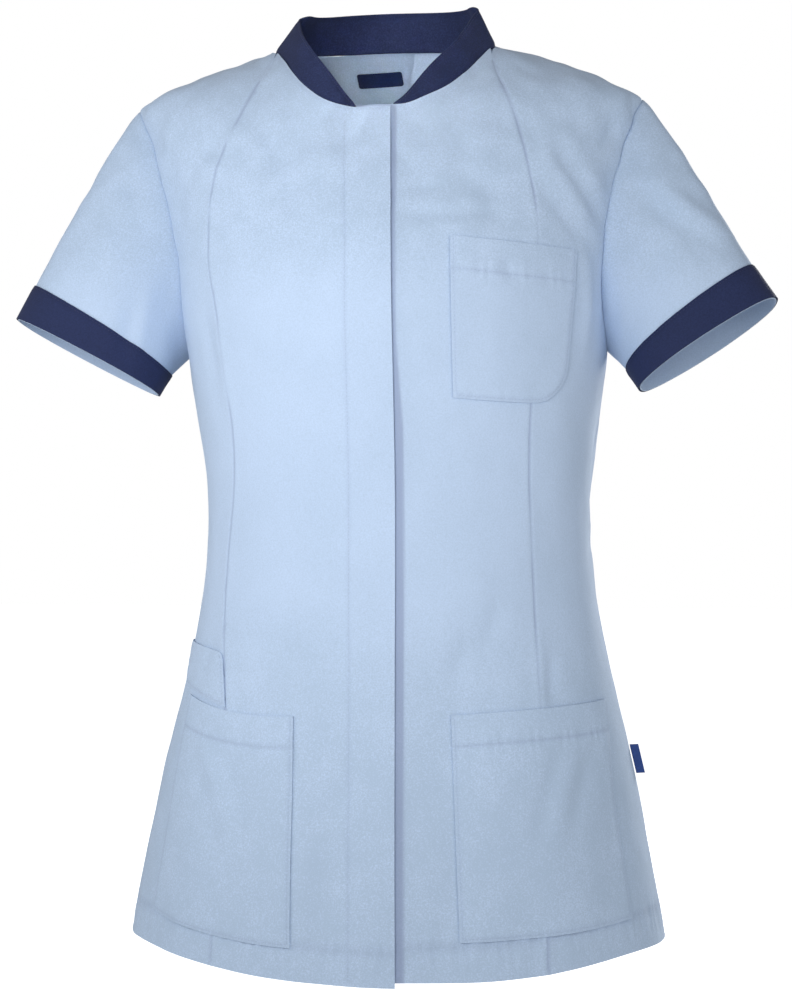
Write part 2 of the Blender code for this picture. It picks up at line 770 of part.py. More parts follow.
def collar_ribs():
    """The collar's ribs, from its end on the wearer's right round the back to the left end."""
    spots = collar_spots("right")
    for angle, drop in back_neck()[1:-1]:
        height = COLLAR_HEIGHT - COLLAR_BACK_DIP * math.cos(angle) ** 2
        spots.append(((wrapped(angle), drop), False, height))
    spots += reversed(collar_spots("left"))
    bases = [body_point(*place, lifted) for place, lifted, _ in spots]
    ribs = []
    for i, (place, lifted, height) in enumerate(spots):
        along = bases[min(i + 1, len(bases) - 1)] - bases[max(i - 1, 0)]
        up = collar_up(place[0])
        away = along.cross(up).normalized()
        if away.dot(Vector((bases[i].x, bases[i].y, 0))) < 0:
            away = -away
        corner = inner_corner(bases[i], body_normal(*place, lifted), away, CLOTH)
        ribs.append(CollarRib(bases[i], up, away, height, corner))
    return ribs


def fit_neck(inner_line, start, ribs):
    """Gives a panel's neck edge the inner corners that it shares with the collar."""
    for k, rib in enumerate(ribs):
        inner_line[start + k] = rib.corner


def add_collar(ribs):
    """The stand-up band, highest at the back and running out at the front."""
    outer, inner = [], []
    for j in range(COLLAR_ROWS + 1):
        share = j / COLLAR_ROWS
        points = [rib.base + rib.up * rib.height * share for rib in ribs]
        outer.append(points)
        inner.append([p - rib.away * COLLAR_CLOTH for p, rib in zip(points, ribs)])
    inner[0] = [rib.corner for rib in ribs]
    draw_in(outer, inner, ["bottom"])
    wall_object("collar", outer, inner, NAVY)


# Body panels


def add_front(side, ribs):
    """The centre front piece, from the front edge to the long seam."""
    seam, edge, neck = seam_rows(side), edge_rows(side), neck_edge(side)
    hem = hem_columns(edge[0], seam[0], len(neck) - 1)
    outer, inner = body_wall(patch(edge, seam, hem, neck), side == "right")
    fit_neck(inner[-1], EDGE_COLUMNS[side], ribs[: NECK_COLUMNS + 1])
    draw_in(outer, inner, ["second", "top"])
    wall_object("front_" + side, outer, inner, PALE_BLUE)


def add_side_front(side, ribs):
    """The side front piece, from the long seam to the side seam, armhole and shoulder."""
    sign = SIDES[side]
    seam, outside = seam_rows(side), side_rows(sign, "front")
    top = neck_end(side)[:-1] + shoulder_columns(sign)
    hem = hem_columns(seam[0], outside[0], len(top) - 1)
    outer, inner = body_wall(patch(seam, outside, hem, top), side == "right")
    fit_neck(inner[-1], 0, ribs[NECK_COLUMNS : NECK_COLUMNS + NECK_END_COLUMNS + 1])
    fit_armhole(inner, -1, sign, "front")
    draw_in(outer, inner, ["first", "second", "top"])
    wall_object("side_front_" + side, outer, inner, PALE_BLUE)


def add_back(ribs):
    """The back piece, from side seam to side seam."""
    full = 2 * math.pi
    right_side = [(a % full, d) for a, d in side_rows(-1, "back")]
    left_side = [(a % full, d) for a, d in side_rows(1, "back")]
    right_top = [(a % full, d) for a, d in reversed(shoulder_columns(-1))]
    top = right_top[:-1] + back_neck() + shoulder_columns(1)[1:]
    hem = hem_columns(right_side[0], left_side[0], len(top) - 1)
    outer, inner = body_wall(patch(right_side, left_side, hem, top), False)
    fit_neck(inner[-1], SHOULDER_COLUMNS, ribs)
    fit_armhole(inner, 0, -1, "back")
    fit_armhole(inner, -1, 1, "back")
    draw_in(outer, inner, ["first", "second", "top"])
    wall_object("back", outer, inner, PALE_BLUE)


# Pockets and labels


def arc_through(points, s):
    """A place on the smooth curve through three places, s from 0 to 1."""
    a, b, c = points
    pull = [2 * b[k] - 0.5 * (a[k] + c[k]) for k in range(2)]
    return [a[k] * (1 - s) ** 2 + pull[k] * 2 * s * (1 - s) + c[k] * s * s for k in range(2)]


def pocket_grid(pocket):
    """The places of a patch pocket. A rounded corner shortens the columns that end in it."""
    wide = pocket.bottom[2].across - pocket.bottom[0].across
    tall = pocket.bottom[0].drop - pocket.top[0].drop
    grid = []
    for j in range(pocket.rows + 1):
        line = []
        for i in range(pocket.columns + 1):
            s = i / pocket.columns
            into_corner = max(0.0, s * wide - (wide - pocket.rounded))
            lost = pocket.rounded - math.sqrt(max(0.0, pocket.rounded**2 - into_corner**2))
            t = lost / tall + (1 - lost / tall) * j / pocket.rows
            across, drop = between(
                arc_through(pocket.bottom, s), arc_through(pocket.top, s), t
            )
            line.append((angle_at(across, drop), drop))
        grid.append(line)
    return grid


def lying_wall(grid, lifted, clear, wall):
    """The outer and inner points of a piece that lies on the body."""
    outer = [[body_point(a, d, lifted, clear + wall) for a, d in line] for line in grid]
    inner = [[body_point(a, d, lifted, clear) for a, d in line] for line in grid]
    return outer, inner


def add_pocket(name, pocket):
    lifted = pocket.top[0].across < 0
    outer, inner = lying_wall(pocket_grid(pocket), lifted, POCKET_CLEAR, POCKET_WALL)
    wall_object(name, outer, inner, PALE_BLUE)


def add_neck_label():
    """The woven label inside the back neck."""
    grid = []
    for drop in (NECK_LABEL_LOW, NECK_LABEL_TOP):
        line = []
        for k in range(NECK_LABEL_COLUMNS + 1):
            across = NECK_LABEL_FROM + (NECK_LABEL_TO - NECK_LABEL_FROM) * k / NECK_LABEL_COLUMNS
            line.append((angle_at(across, drop, "back"), drop))
        grid.append(line)
    clear = -CLOTH - LABEL_CLEAR - LABEL_WALL
    outer, inner = lying_wall(grid, False, clear, LABEL_WALL)
    wall_object("label_neck", outer, inner, LABEL_BLUE)


def add_side_label():
    """The small label that stands out of the wearer's left side seam."""
    outwards = Vector((math.cos(SIDE_LABEL_TURN), math.sin(SIDE_LABEL_TURN), 0))
    thick = Vector((-outwards.y, outwards.x, 0)) * LABEL_WALL
    outer = []
    for drop in (SIDE_LABEL_LOW, SIDE_LABEL_TOP):
        seam = body_point(math.pi / 2, drop)
        outer.append([seam + outwards * (LABEL_CLEAR + SIDE_LABEL_OUT * k / 2) for k in range(3)])
    inner = [[point + thick for point in line] for line in outer]
    wall_object("label_side", outer, inner, LABEL_BLUE)


def main():
    for thing in list(bpy.data.objects):
        bpy.data.objects.remove(thing)
    collection = bpy.data.collections.new(COLLECTION)
    bpy.context.scene.collection.children.link(collection)
    ribs = collar_ribs()
    front_ribs = {"right": ribs, "left": ribs[::-1]}
    for side in SIDES:
        add_front(side, front_ribs[side])
        add_side_front(side, front_ribs[side])
        add_sleeve(side)
        add_cuff(side)
    start = NECK_COLUMNS + NECK_END_COLUMNS
    add_back(ribs[start : start + BACK_NECK_COLUMNS + 1])
    add_collar(ribs)
    for name, pocket in POCKETS.items():
        add_pocket(name, pocket)
    add_neck_label()
    add_side_label()


main()
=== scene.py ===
# %% [markdown]
# A work jacket: short sleeves, stand collar, hidden front closing, long panel
# seams and four patch pockets, in pale blue work cloth with navy trim.
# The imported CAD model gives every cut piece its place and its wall. This
# lesson turns each one into cloth: it takes the outside of the solid as a
# sheet, rounds it, presses creases and seams into it and gives it thickness.

import json
import math
from collections import namedtuple

import bmesh
import bpy
import numpy as np
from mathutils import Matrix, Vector, noise
from mathutils.bvhtree import BVHTree
from mathutils.kdtree import KDTree

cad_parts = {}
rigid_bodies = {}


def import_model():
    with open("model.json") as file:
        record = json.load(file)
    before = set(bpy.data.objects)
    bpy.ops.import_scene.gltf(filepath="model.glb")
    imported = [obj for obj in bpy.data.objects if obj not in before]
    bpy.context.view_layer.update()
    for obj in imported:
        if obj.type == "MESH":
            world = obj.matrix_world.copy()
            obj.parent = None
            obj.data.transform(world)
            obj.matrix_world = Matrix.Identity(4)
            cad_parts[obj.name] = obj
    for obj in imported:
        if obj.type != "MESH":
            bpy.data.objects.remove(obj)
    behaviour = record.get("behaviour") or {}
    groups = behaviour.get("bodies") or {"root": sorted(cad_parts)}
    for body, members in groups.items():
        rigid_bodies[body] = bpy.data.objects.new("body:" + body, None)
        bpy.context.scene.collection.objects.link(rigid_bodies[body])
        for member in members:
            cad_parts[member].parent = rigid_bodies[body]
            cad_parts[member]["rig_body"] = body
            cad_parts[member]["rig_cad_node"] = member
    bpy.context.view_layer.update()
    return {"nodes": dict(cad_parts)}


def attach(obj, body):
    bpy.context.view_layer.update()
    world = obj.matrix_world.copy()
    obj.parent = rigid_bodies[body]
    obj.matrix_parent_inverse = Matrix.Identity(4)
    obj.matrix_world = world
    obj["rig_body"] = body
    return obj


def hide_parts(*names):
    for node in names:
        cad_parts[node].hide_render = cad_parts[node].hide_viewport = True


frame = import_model()
MM = 0.001

# %% [markdown]
# The camera stands where the photographer stood: level with the middle of the
# jacket, a little to the wearer's left. A long lens keeps the hem and the
# collar nearly the same scale. The picture is upright, so the sensor's width
# lies along its height.

# %% Camera
PICTURE_HIGH = 1000
FOCAL_PIXELS = 2051
SENSOR = 36.0
CAMERA_TURN = math.radians(7)
CAMERA_AWAY = 1.6
CAMERA_AIM = Vector((0.009, 0, -0.353))

bpy.ops.object.camera_add()
camera = bpy.context.active_object
camera.name = "camera"
camera.data.sensor_width = SENSOR
camera.data.lens = FOCAL_PIXELS * SENSOR / PICTURE_HIGH
towards_camera = Vector((math.sin(CAMERA_TURN), -math.cos(CAMERA_TURN), 0))
camera.location = CAMERA_AIM + towards_camera * CAMERA_AWAY
camera.rotation_euler = (math.pi / 2, 0, CAMERA_TURN)
bpy.context.scene.camera = camera
print("lens:", round(camera.data.lens, 1), "mm")

# %% [markdown]
# Shader maths reads best as plain sums. A wire is a socket that knows how to
# add, take away, multiply and divide, and each sum makes one Math node. Every
# other node comes from one method that takes its settings and its inputs.


# %% Nodes written as sums
class Wire:
    """An output socket that can stand in a sum."""

    def __init__(self, finish, socket):
        self.finish = finish
        self.socket = socket

    def _sum(self, operation, first, second):
        return self.finish.node("ShaderNodeMath", {"operation": operation}, {0: first, 1: second})

    def __add__(self, other):
        return self._sum("ADD", self, other)

    def __mul__(self, other):
        return self._sum("MULTIPLY", self, other)

    def __sub__(self, other):
        return self._sum("SUBTRACT", self, other)

    def __rsub__(self, other):
        return self._sum("SUBTRACT", other, self)

    __radd__ = __add__
    __rmul__ = __mul__


class Finish:
    """A material with its nodes."""

    def __init__(self, name):
        self.material = bpy.data.materials.new(name)
        self.material.use_nodes = True
        self.tree = self.material.node_tree
        self.tree.nodes.clear()

    def node(self, kind, settings=None, values=None, output=0):
        made = self.tree.nodes.new(kind)
        for key, value in (settings or {}).items():
            setattr(made, key, value)
        for key, value in (values or {}).items():
            if isinstance(value, Wire):
                self.tree.links.new(value.socket, made.inputs[key])
            else:
                made.inputs[key].default_value = value
        return Wire(self, made.outputs[output]) if made.outputs else None

    def blend(self, share, first, second):
        """A colour between two colours."""
        settings = {"data_type": "RGBA"}
        return self.node("ShaderNodeMix", settings, {"Factor": share, 6: first, 7: second}, 2)

    def speckle(self, place, scale, detail):
        """Smooth noise at a place."""
        return self.node("ShaderNodeTexNoise", values={"Vector": place, "Scale": scale, "Detail": detail})


# %% [markdown]
# A plain floor, a white surround and soft lights, as in a catalogue studio.
# The main one is close in front, at waist height and a little to the viewer's
# left, so that the shoulders, the sides and the skirt fall off into shade.
# Wide weak ones stand to the right and the left, a narrow one shines into the
# neck and one is behind. Floor and surround are white to the eye but give less
# light than they show, or the folds would wash out.

# %% Floor and light
FLOOR_UP = -0.86
FLOOR_WIDE = 16.0
SURROUND_LIGHT = 0.29
FLOOR_LIGHT = 0.10
Lamp = namedtuple("Lamp", "name place aim size spread power")
LAMPS = [
    Lamp("key", (-0.21, -0.90, -0.21), (-0.03, 0, -0.24), 0.45, 104, 1.48),
    Lamp("fill", (1.7, -1.5, -0.20), (0, 0, -0.35), 1.6, 180, 14.5),
    Lamp("side", (-1.8, -0.9, 0.20), (-0.2, 0, -0.2), 1.2, 180, 13),
    Lamp("neck", (0.05, -1.3, 0.10), (0, 0.05, -0.018), 0.10, 6, 0.023),
    Lamp("behind", (0.85, 1.6, 0.1), (0, 0, -0.3), 0.4, 180, 20),
]

floor_finish = Finish("pale_floor")
seen = floor_finish.node("ShaderNodeLightPath")
dim = (FLOOR_LIGHT, FLOOR_LIGHT, FLOOR_LIGHT, 1)
floor_shader = floor_finish.node(
    "ShaderNodeBsdfPrincipled",
    values={
        "Base Color": (0.6, 0.6, 0.6, 1),
        "Roughness": 0.9,
        "Emission Color": floor_finish.blend(seen, dim, (1, 1, 1, 1)),
        "Emission Strength": 1.0,
    },
)
floor_finish.node("ShaderNodeOutputMaterial", values={0: floor_shader})
bpy.ops.mesh.primitive_plane_add(size=FLOOR_WIDE, location=(0, 0, FLOOR_UP))
floor = bpy.context.active_object
floor.name = "floor"
floor.data.materials.append(floor_finish.material)

world = bpy.data.worlds.new("white_surround")
bpy.context.scene.world = world
world.use_nodes = True
surround = world.node_tree
light_path = surround.nodes.new("ShaderNodeLightPath")
strength = surround.nodes.new("ShaderNodeMapRange")
strength.inputs["To Min"].default_value = SURROUND_LIGHT
strength.inputs["To Max"].default_value = 1.0
surround.links.new(light_path.outputs["Is Camera Ray"], strength.inputs["Value"])
surround.nodes["Background"].inputs["Color"].default_value = (1, 1, 1, 1)
surround.links.new(strength.outputs["Result"], surround.nodes["Background"].inputs["Strength"])

for lamp in LAMPS:
    bpy.ops.object.light_add(type="AREA", location=lamp.place)
    light = bpy.context.active_object
    light.name = lamp.name
    light.data.size = lamp.size
    light.data.energy = lamp.power
    light.data.spread = math.radians(lamp.spread)
    light.visible_camera = False
    way = Vector(lamp.aim) - Vector(lamp.place)
    light.rotation_euler = way.to_track_quat("-Z", "Y").to_euler()
bpy.context.scene.view_settings.view_transform = "Standard"
print(len(LAMPS), "lamps")

# %% [markdown]
# Work cloth is a tight plain weave. Each thread is about 0.4 mm wide, so the
# weave only shows close up; from afar the eye sees a fine grain and slow
# changes of tone where the cloth has been washed and pressed. Above the bust
# and below the waist it is blotched and painted darker, most on the skirt:
# painted shade. Along seams and in the grooves of sewing it is painted darker
# too, as painted shade, and takes a bluer tone there. A map in metres on each
# piece carries the weave, so that it follows the cloth round a fold.

# %% Cloth finishes
THREAD = 0.42 * MM
Tone = namedtuple("Tone", "name dark light roughness sheen")
TONES = [
    Tone("pale_cloth", (0.415, 0.530, 0.690, 1), (0.535, 0.660, 0.865, 1), 0.86, 0.10),
    Tone("navy_cloth", (0.011, 0.018, 0.060, 1), (0.023, 0.035, 0.110, 1), 0.80, 0.03),
    Tone("label_cloth", (0.004, 0.011, 0.052, 1), (0.008, 0.022, 0.085, 1), 0.60, 0.03),
    Tone("side_label", (0.022, 0.060, 0.240, 1), (0.035, 0.090, 0.340, 1), 0.60, 0.03),
]
PAINTED_SHADE_TINT = (0.63, 0.60, 0.70)
YOKE_AT = (-0.21, -0.15)
SKIRT_AT = (-0.42, -0.54)
GRAIN_SCALE = 900.0
PATCH_SCALE = 16.0
MOTTLE_SCALE = 50.0
PATCH_SHARE = 0.7
GRAIN_SHARE = 1.3
WEAVE_SHARE = 0.05
SHARE_MIDDLE = 0.5
BLOTCH_MOTTLES = 0.8
BLOTCH_GRAIN = 1.6
BLOTCH_MIDDLE = 1.42
SKIRT_PAINTED_SHADE = 0.15
ROUGH_SPREAD = 0.12
BUMP_STRENGTH = 0.22
BUMP_DEEP = 0.12 * MM


def cloth_finish(tone):
    """Woven cloth: threads and grain in the bump, slow patches and painted shade in the colour."""
    finish = Finish(tone.name)
    weave_map = finish.node("ShaderNodeUVMap", {"uv_map": "weave"})
    across = finish.node("ShaderNodeSeparateXYZ", values={0: weave_map}, output=0)
    along = finish.node("ShaderNodeSeparateXYZ", values={0: weave_map}, output=1)
    turns = math.pi / THREAD
    warp = finish.node("ShaderNodeMath", {"operation": "SINE"}, {0: across * turns})
    weft = finish.node("ShaderNodeMath", {"operation": "SINE"}, {0: along * turns})
    weave = warp * weft
    place = finish.node("ShaderNodeTexCoord", output=3)
    grain = finish.speckle(place, GRAIN_SCALE, 3.0)
    patches = finish.speckle(place, PATCH_SCALE, 3.0)
    mottles = finish.speckle(place, MOTTLE_SCALE, 5.0)
    up = finish.node("ShaderNodeSeparateXYZ", values={0: place}, output=2)
    yoke = finish.node("ShaderNodeMapRange", values={0: up, 1: YOKE_AT[0], 2: YOKE_AT[1]})
    skirt = finish.node("ShaderNodeMapRange", values={0: up, 1: SKIRT_AT[0], 2: SKIRT_AT[1]})
    # Above the bust and below the waist the colour is blotched and darker on the whole, most on the skirt:
    # painted shade.
    blotches = mottles * BLOTCH_MOTTLES + grain * BLOTCH_GRAIN - BLOTCH_MIDDLE
    blotches_and_painted_shade = (yoke + skirt) * blotches - skirt * SKIRT_PAINTED_SHADE
    # Where shade is painted, the colour goes over to a darker, bluer tone: painted shade.
    painted_shade = finish.node("ShaderNodeAttribute", {"attribute_name": "painted_shade"}, output=2)
    share = patches * PATCH_SHARE + grain * GRAIN_SHARE + weave * WEAVE_SHARE - SHARE_MIDDLE + blotches_and_painted_shade
    painted_shade_tone = tuple(v * part for v, part in zip(tone.dark, PAINTED_SHADE_TINT)) + (1,)
    colour = finish.blend(painted_shade, finish.blend(share, tone.dark, tone.light), painted_shade_tone)
    height = weave * 0.5 + grain
    bump = finish.node(
        "ShaderNodeBump", values={"Strength": BUMP_STRENGTH, "Distance": BUMP_DEEP, "Height": height}
    )
    shader = finish.node(
        "ShaderNodeBsdfPrincipled",
        values={
            "Base Color": colour,
            "Roughness": tone.roughness - ROUGH_SPREAD / 2 + grain * ROUGH_SPREAD,
            "Normal": bump,
            "Sheen Weight": tone.sheen,
            "Sheen Roughness": 0.5,
            "Specular IOR Level": 0.25,
        },
    )
    finish.node("ShaderNodeOutputMaterial", values={0: shader})
    return finish.material


FINISHES = {tone.name: cloth_finish(tone) for tone in TONES}
print("finishes:", ", ".join(FINISHES))

# %% [markdown]
# Sewing thread is smoother than the cloth that it holds and painted a shade
# darker: painted shade of the small hollow that each stitch sits in.

# %% Thread finish
PLY_SCALE = 2500.0
PLY_DARK = 0.8
THREAD_ROUGH = 0.55


def thread_finish(name, colour):
    """Thread: fine twisted plies along each stitch."""
    finish = Finish(name)
    place = finish.node("ShaderNodeTexCoord", output=3)
    plies = finish.speckle(place, PLY_SCALE, 2.0)
    dark = tuple(v * PLY_DARK for v in colour[:3]) + (1,)
    shader = finish.node(
        "ShaderNodeBsdfPrincipled",
        values={"Base Color": finish.blend(plies, dark, colour), "Roughness": THREAD_ROUGH},
    )
    finish.node("ShaderNodeOutputMaterial", values={0: shader})
    return finish.material


PALE_THREAD = thread_finish("pale_thread", (0.37, 0.48, 0.66, 1))
NAVY_THREAD = thread_finish("navy_thread", (0.028, 0.036, 0.100, 1))
print("threads:", PALE_THREAD.name, NAVY_THREAD.name)

# %% [markdown]
# Creases come from how cloth hangs: a trough where it is pulled, a ridge
# beside it where it has to go. Each row is one crease, seen from the front,
# the back or a side, as a line of places in millimetres (across, up), with its
# width and how far it stands out or, below nothing, sinks in.

# %% Creases
Crease = namedtuple("Crease", "view line width lift")
CREASES = [
    Crease("front", ((-82, -76), (-72, -92), (-62, -108)), 8, -1.7),
    Crease("front", ((-60, -104), (-56, -128), (-53, -152)), 7, -1.6),
    Crease("front", ((-24, -98), (-8, -80)), 6, -1.3),
    Crease("front", ((-130, -86), (-112, -100)), 7, -1.5),
    Crease("front", ((-158, -48), (-162, -98)), 8, 1.2),
    Crease("front", ((-148, -140), (-158, -180), (-168, -214)), 9, -1.0),
    Crease("front", ((-92, -140), (-74, -158)), 8, -1.3),
    Crease("front", ((-126, -206), (-121, -240), (-116, -262)), 8, -1.3),
    Crease("front", ((-112, -212), (-110, -246), (-104, -286)), 7, 0.8),
    Crease("front", ((124, -84), (148, -124), (170, -164)), 8, 1.5),
    Crease("front", ((120, -112), (142, -144), (164, -168)), 8, -1.5),
    Crease("front", ((140, -78), (158, -103), (172, -132)), 7, 1.0),
    Crease("front", ((133, -92), (152, -118), (170, -146)), 6, -0.9),
    Crease("front", ((104, -22), (124, -38)), 7, -1.0),
    Crease("front", ((158, -168), (160, -205), (158, -246)), 8, 1.8),
    Crease("front", ((172, -140), (172, -188), (170, -226)), 6, -1.0),
    Crease("front", ((180, -66), (171, -92)), 6, -1.1),
    Crease("front", ((187, -58), (194, -78)), 7, 1.0),
    Crease("front", ((188, -114), (213, -135), (240, -156), (262, -168)), 9, -2.2),
    Crease("front", ((190, -98), (217, -121), (246, -142), (266, -154)), 9, 1.8),
    Crease("front", ((222, -150), (240, -168), (252, -182)), 8, -1.2),
    Crease("front", ((196, -192), (210, -176), (224, -158)), 9, -0.9),
    Crease("front", ((182, -180), (186, -210), (184, -236)), 9, 1.2),
    Crease("front", ((26, -128), (60, -124)), 6, -1.1),
    Crease("front", ((26, -146), (62, -146), (100, -143)), 6, -1.3),
    Crease("front", ((100, -178), (110, -196)), 6, -1.2),
    Crease("front", ((98, -424), (92, -446), (84, -470)), 9, -1.5),
    Crease("front", ((78, -448), (64, -486)), 9, -1.4),
    Crease("front", ((134, -466), (135, -504)), 6, -1.3),
    Crease("front", ((127, -456), (129, -504)), 6, 0.9),
    Crease("front", ((141, -528), (132, -566), (126, -600)), 8, -1.2),
    Crease("front", ((152, -530), (143, -566), (136, -600)), 8, 0.9),
    Crease("front", ((164, -530), (153, -572), (148, -604)), 8, -1.0),
    Crease("front", ((-114, -528), (-96, -562), (-86, -600)), 8, -1.3),
    Crease("front", ((-124, -532), (-106, -568), (-96, -606)), 8, 1.0),
    Crease("front", ((-134, -534), (-118, -572), (-108, -610)), 8, -0.9),
    Crease("front", ((-106, -496), (-84, -504)), 6, -0.9),
    Crease("front", ((-26, -576), (-12, -560), (-2, -548)), 9, -1.0),
    Crease("front", ((-126, -482), (-120, -458)), 6, -1.0),
    Crease("front", ((-40, -560), (-44, -620), (-46, -690)), 14, 1.6),
    Crease("front", ((52, -570), (50, -630), (48, -690)), 13, 1.3),
    Crease("front", ((-186, -204), (-190, -232), (-194, -252)), 8, -1.5),
    Crease("front", ((-176, -190), (-179, -222), (-182, -246)), 7, 1.1),
    Crease("front", ((-196, -110), (-224, -142), (-244, -164)), 11, -0.9),
    Crease("front", ((-206, -100), (-236, -134), (-256, -158)), 11, 0.8),
    Crease("back", ((150, -96), (126, -140), (116, -190)), 10, -1.6),
    Crease("back", ((138, -90), (112, -132), (102, -184)), 11, 1.3),
    Crease("back", ((-150, -96), (-130, -138), (-120, -186)), 10, -1.4),
    Crease("back", ((-136, -92), (-114, -136), (-104, -190)), 11, 1.2),
    Crease("back", ((128, -214), (96, -250), (70, -270)), 11, -1.5),
    Crease("back", ((126, -240), (92, -276), (60, -296)), 11, 1.3),
    Crease("back", ((-124, -216), (-92, -254), (-58, -276)), 11, -1.6),
    Crease("back", ((-122, -244), (-88, -282), (-50, -304)), 11, 1.3),
    Crease("back", ((-60, -330), (0, -342), (66, -332)), 12, -1.7),
    Crease("back", ((-74, -356), (0, -370), (80, -358)), 12, 1.5),
    Crease("back", ((-50, -384), (10, -394), (64, -384)), 11, -1.2),
    Crease("back", ((84, -450), (92, -540), (98, -640)), 16, 1.6),
    Crease("back", ((40, -470), (44, -560), (46, -660)), 16, -1.6),
    Crease("back", ((-20, -460), (-22, -560), (-24, -660)), 17, 1.6),
    Crease("back", ((-76, -470), (-84, -560), (-90, -650)), 16, -1.5),
    Crease("back", ((236, -96), (250, -140), (258, -190)), 10, -1.5),
    Crease("back", ((222, -90), (232, -140), (238, -200)), 10, 1.2),
    Crease("back", ((-224, -96), (-238, -140), (-246, -190)), 10, -1.4),
    Crease("back", ((-210, -92), (-218, -142), (-224, -204)), 10, 1.2),
    Crease("left", ((-10, -290), (2, -330), (10, -372)), 9, -1.1),
    Crease("left", ((12, -288), (20, -330), (26, -366)), 9, 0.9),
    Crease("left", ((-24, -400), (-6, -384), (16, -390)), 8, -0.9),
    Crease("right", ((-12, -292), (0, -334), (8, -376)), 9, -1.1),
    Crease("right", ((10, -286), (18, -328), (24, -368)), 9, 0.9),
    Crease("right", ((-22, -402), (-4, -388), (18, -392)), 8, -0.9),
]
CREASE_STRENGTH = {"front": 1.25, "back": 1.9, "left": 1.6, "right": 1.6}
for view, strength in CREASE_STRENGTH.items():
    print(sum(crease.view == view for crease in CREASES), "creases seen from the", view, "times", strength)

# %% [markdown]
# The lines are thrown on to the solids from their own side, so that a crease
# lies on the cloth wherever the cloth is. Pockets, labels and cuffs are left
# out of that, so a crease runs on beneath a pocket. It fades out at both ends.

# %% Creases on the cloth
CREASE_STEP = 3 * MM
RAY_START = 1.0
CREASE_ENDS = 0.7
CREASE_TIPS = (0.03, 0.97)


def solid_skin(names):
    """A searchable surface of some CAD nodes."""
    points = []
    faces = []
    for name in names:
        mesh = frame["nodes"][name].data
        first = len(points)
        points += [vertex.co.copy() for vertex in mesh.vertices]
        faces += [[first + index for index in face.vertices] for face in mesh.polygons]
    return BVHTree.FromPolygons(points, faces)


BARE_SKIN = solid_skin([n for n in frame["nodes"] if not n.startswith(("pocket", "label", "cuff"))])


def throw(view, across, up):
    """The place on the solids that is seen there from one side, or None."""
    across *= MM
    up *= MM
    start, way = {
        "front": (Vector((across, -RAY_START, up)), Vector((0, 1, 0))),
        "back": (Vector((across, RAY_START, up)), Vector((0, -1, 0))),
        "left": (Vector((RAY_START, across, up)), Vector((-1, 0, 0))),
        "right": (Vector((-RAY_START, across, up)), Vector((1, 0, 0))),
    }[view]
    return BARE_SKIN.ray_cast(start, way)[0]


def even_steps(spots, step):
    """The same line with places at even steps."""
    reach = np.append(0, np.cumsum(np.linalg.norm(np.diff(spots, axis=0), axis=1)))
    count = max(2, round(reach[-1] / step) + 1)
    at = np.linspace(0, reach[-1], count)
    return np.stack([np.interp(at, reach, spots[:, k]) for k in range(spots.shape[1])], axis=1)


def eased_line(line, step):
    """A line of places with its corners eased, at even steps."""
    eased = even_steps(np.array(line, float), step)
    for _ in range(len(eased) // 4):
        eased[1:-1] = (eased[:-2] + 2 * eased[1:-1] + eased[2:]) / 4
    return eased


def crease_path(crease):
    """A crease as places on the cloth, with how much of its lift each place has."""
    spots = eased_line(crease.line, CREASE_STEP / MM)
    found = [throw(crease.view, *spot) for spot in spots]
    shares = np.sin(np.linspace(*CREASE_TIPS, len(spots)) * math.pi) ** CREASE_ENDS
    kept = [k for k, place in enumerate(found) if place is not None]
    return np.array([found[k] for k in kept]), shares[kept]


CREASE_PATHS = []
for crease in CREASES:
    path, shares = crease_path(crease)
    lift = crease.lift * CREASE_STRENGTH[crease.view] * MM
    CREASE_PATHS.append((path, shares, crease.width * MM, lift))
print(sum(len(path) for path, _, _, _ in CREASE_PATHS), "places on", len(CREASE_PATHS), "creases")

# %% [markdown]
# Between the creases cloth is never quite even. Soft folds hang from the waist,
# upright and a hand's width apart, the yoke is finely crumpled, and a small
# unevenness lies over everything. All three come from a smooth noise that is
# the same on every run.

# %% How far the cloth stands out at a place
WAIST_UP = -0.42
HANG_LONG = 0.20
Swell = namedtuple("Swell", "round_turns up_turns height")
HANGING = Swell(19, 3.5, 2.2)
SMALL = [Swell(24, 15, 0.9), Swell(60, 48, 0.36)]
YOKE = Swell(50, 44, 1.7)
YOKE_UP = -0.19
YOKE_LONG = 0.08
CREASE_REACH = 3


def swell_at(point, swell):
    """A smooth rise or fall at a place, in millimetres."""
    x, y, z = point
    spot = Vector((x * swell.round_turns, y * swell.round_turns, z * swell.up_turns))
    return noise.noise(spot) * swell.height


def unevenness(point):
    """Hanging folds below the waist, crumples above the bust, small swells all over."""
    hang = max(0.0, min(1.0, (WAIST_UP - point[2]) / HANG_LONG))
    yoke = max(0.0, min(1.0, (point[2] - YOKE_UP) / YOKE_LONG))
    parts = [swell_at(point, swell) for swell in SMALL]
    parts += [hang * swell_at(point, HANGING), yoke * swell_at(point, YOKE)]
    return sum(parts) * MM


def relief(points):
    """How far creases and unevenness move each point outwards, in metres."""
    moved = np.array([unevenness(point) for point in points])
    for path, shares, width, lift in CREASE_PATHS:
        reach = CREASE_REACH * width
        near = np.all((points > path.min(0) - reach) & (points < path.max(0) + reach), axis=1)
        if near.any():
            gaps = np.linalg.norm(points[near][:, None] - path[None], axis=2)
            share = shares[gaps.argmin(1)]
            moved[near] += lift * share * np.exp(-((gaps.min(1) / width) ** 2))
    return moved


# %% [markdown]
# Every cloth piece starts as the outside of its own solid. A copy of the CAD
# mesh is merged, its triangles are paired into quads, faces that look outwards
# are chosen, and the choice is spread over the smooth surface until it meets
# the sharp rim. A rim face is never a start: it has no other side close behind
# it. What isn't chosen is the inside and the rim, and it goes.

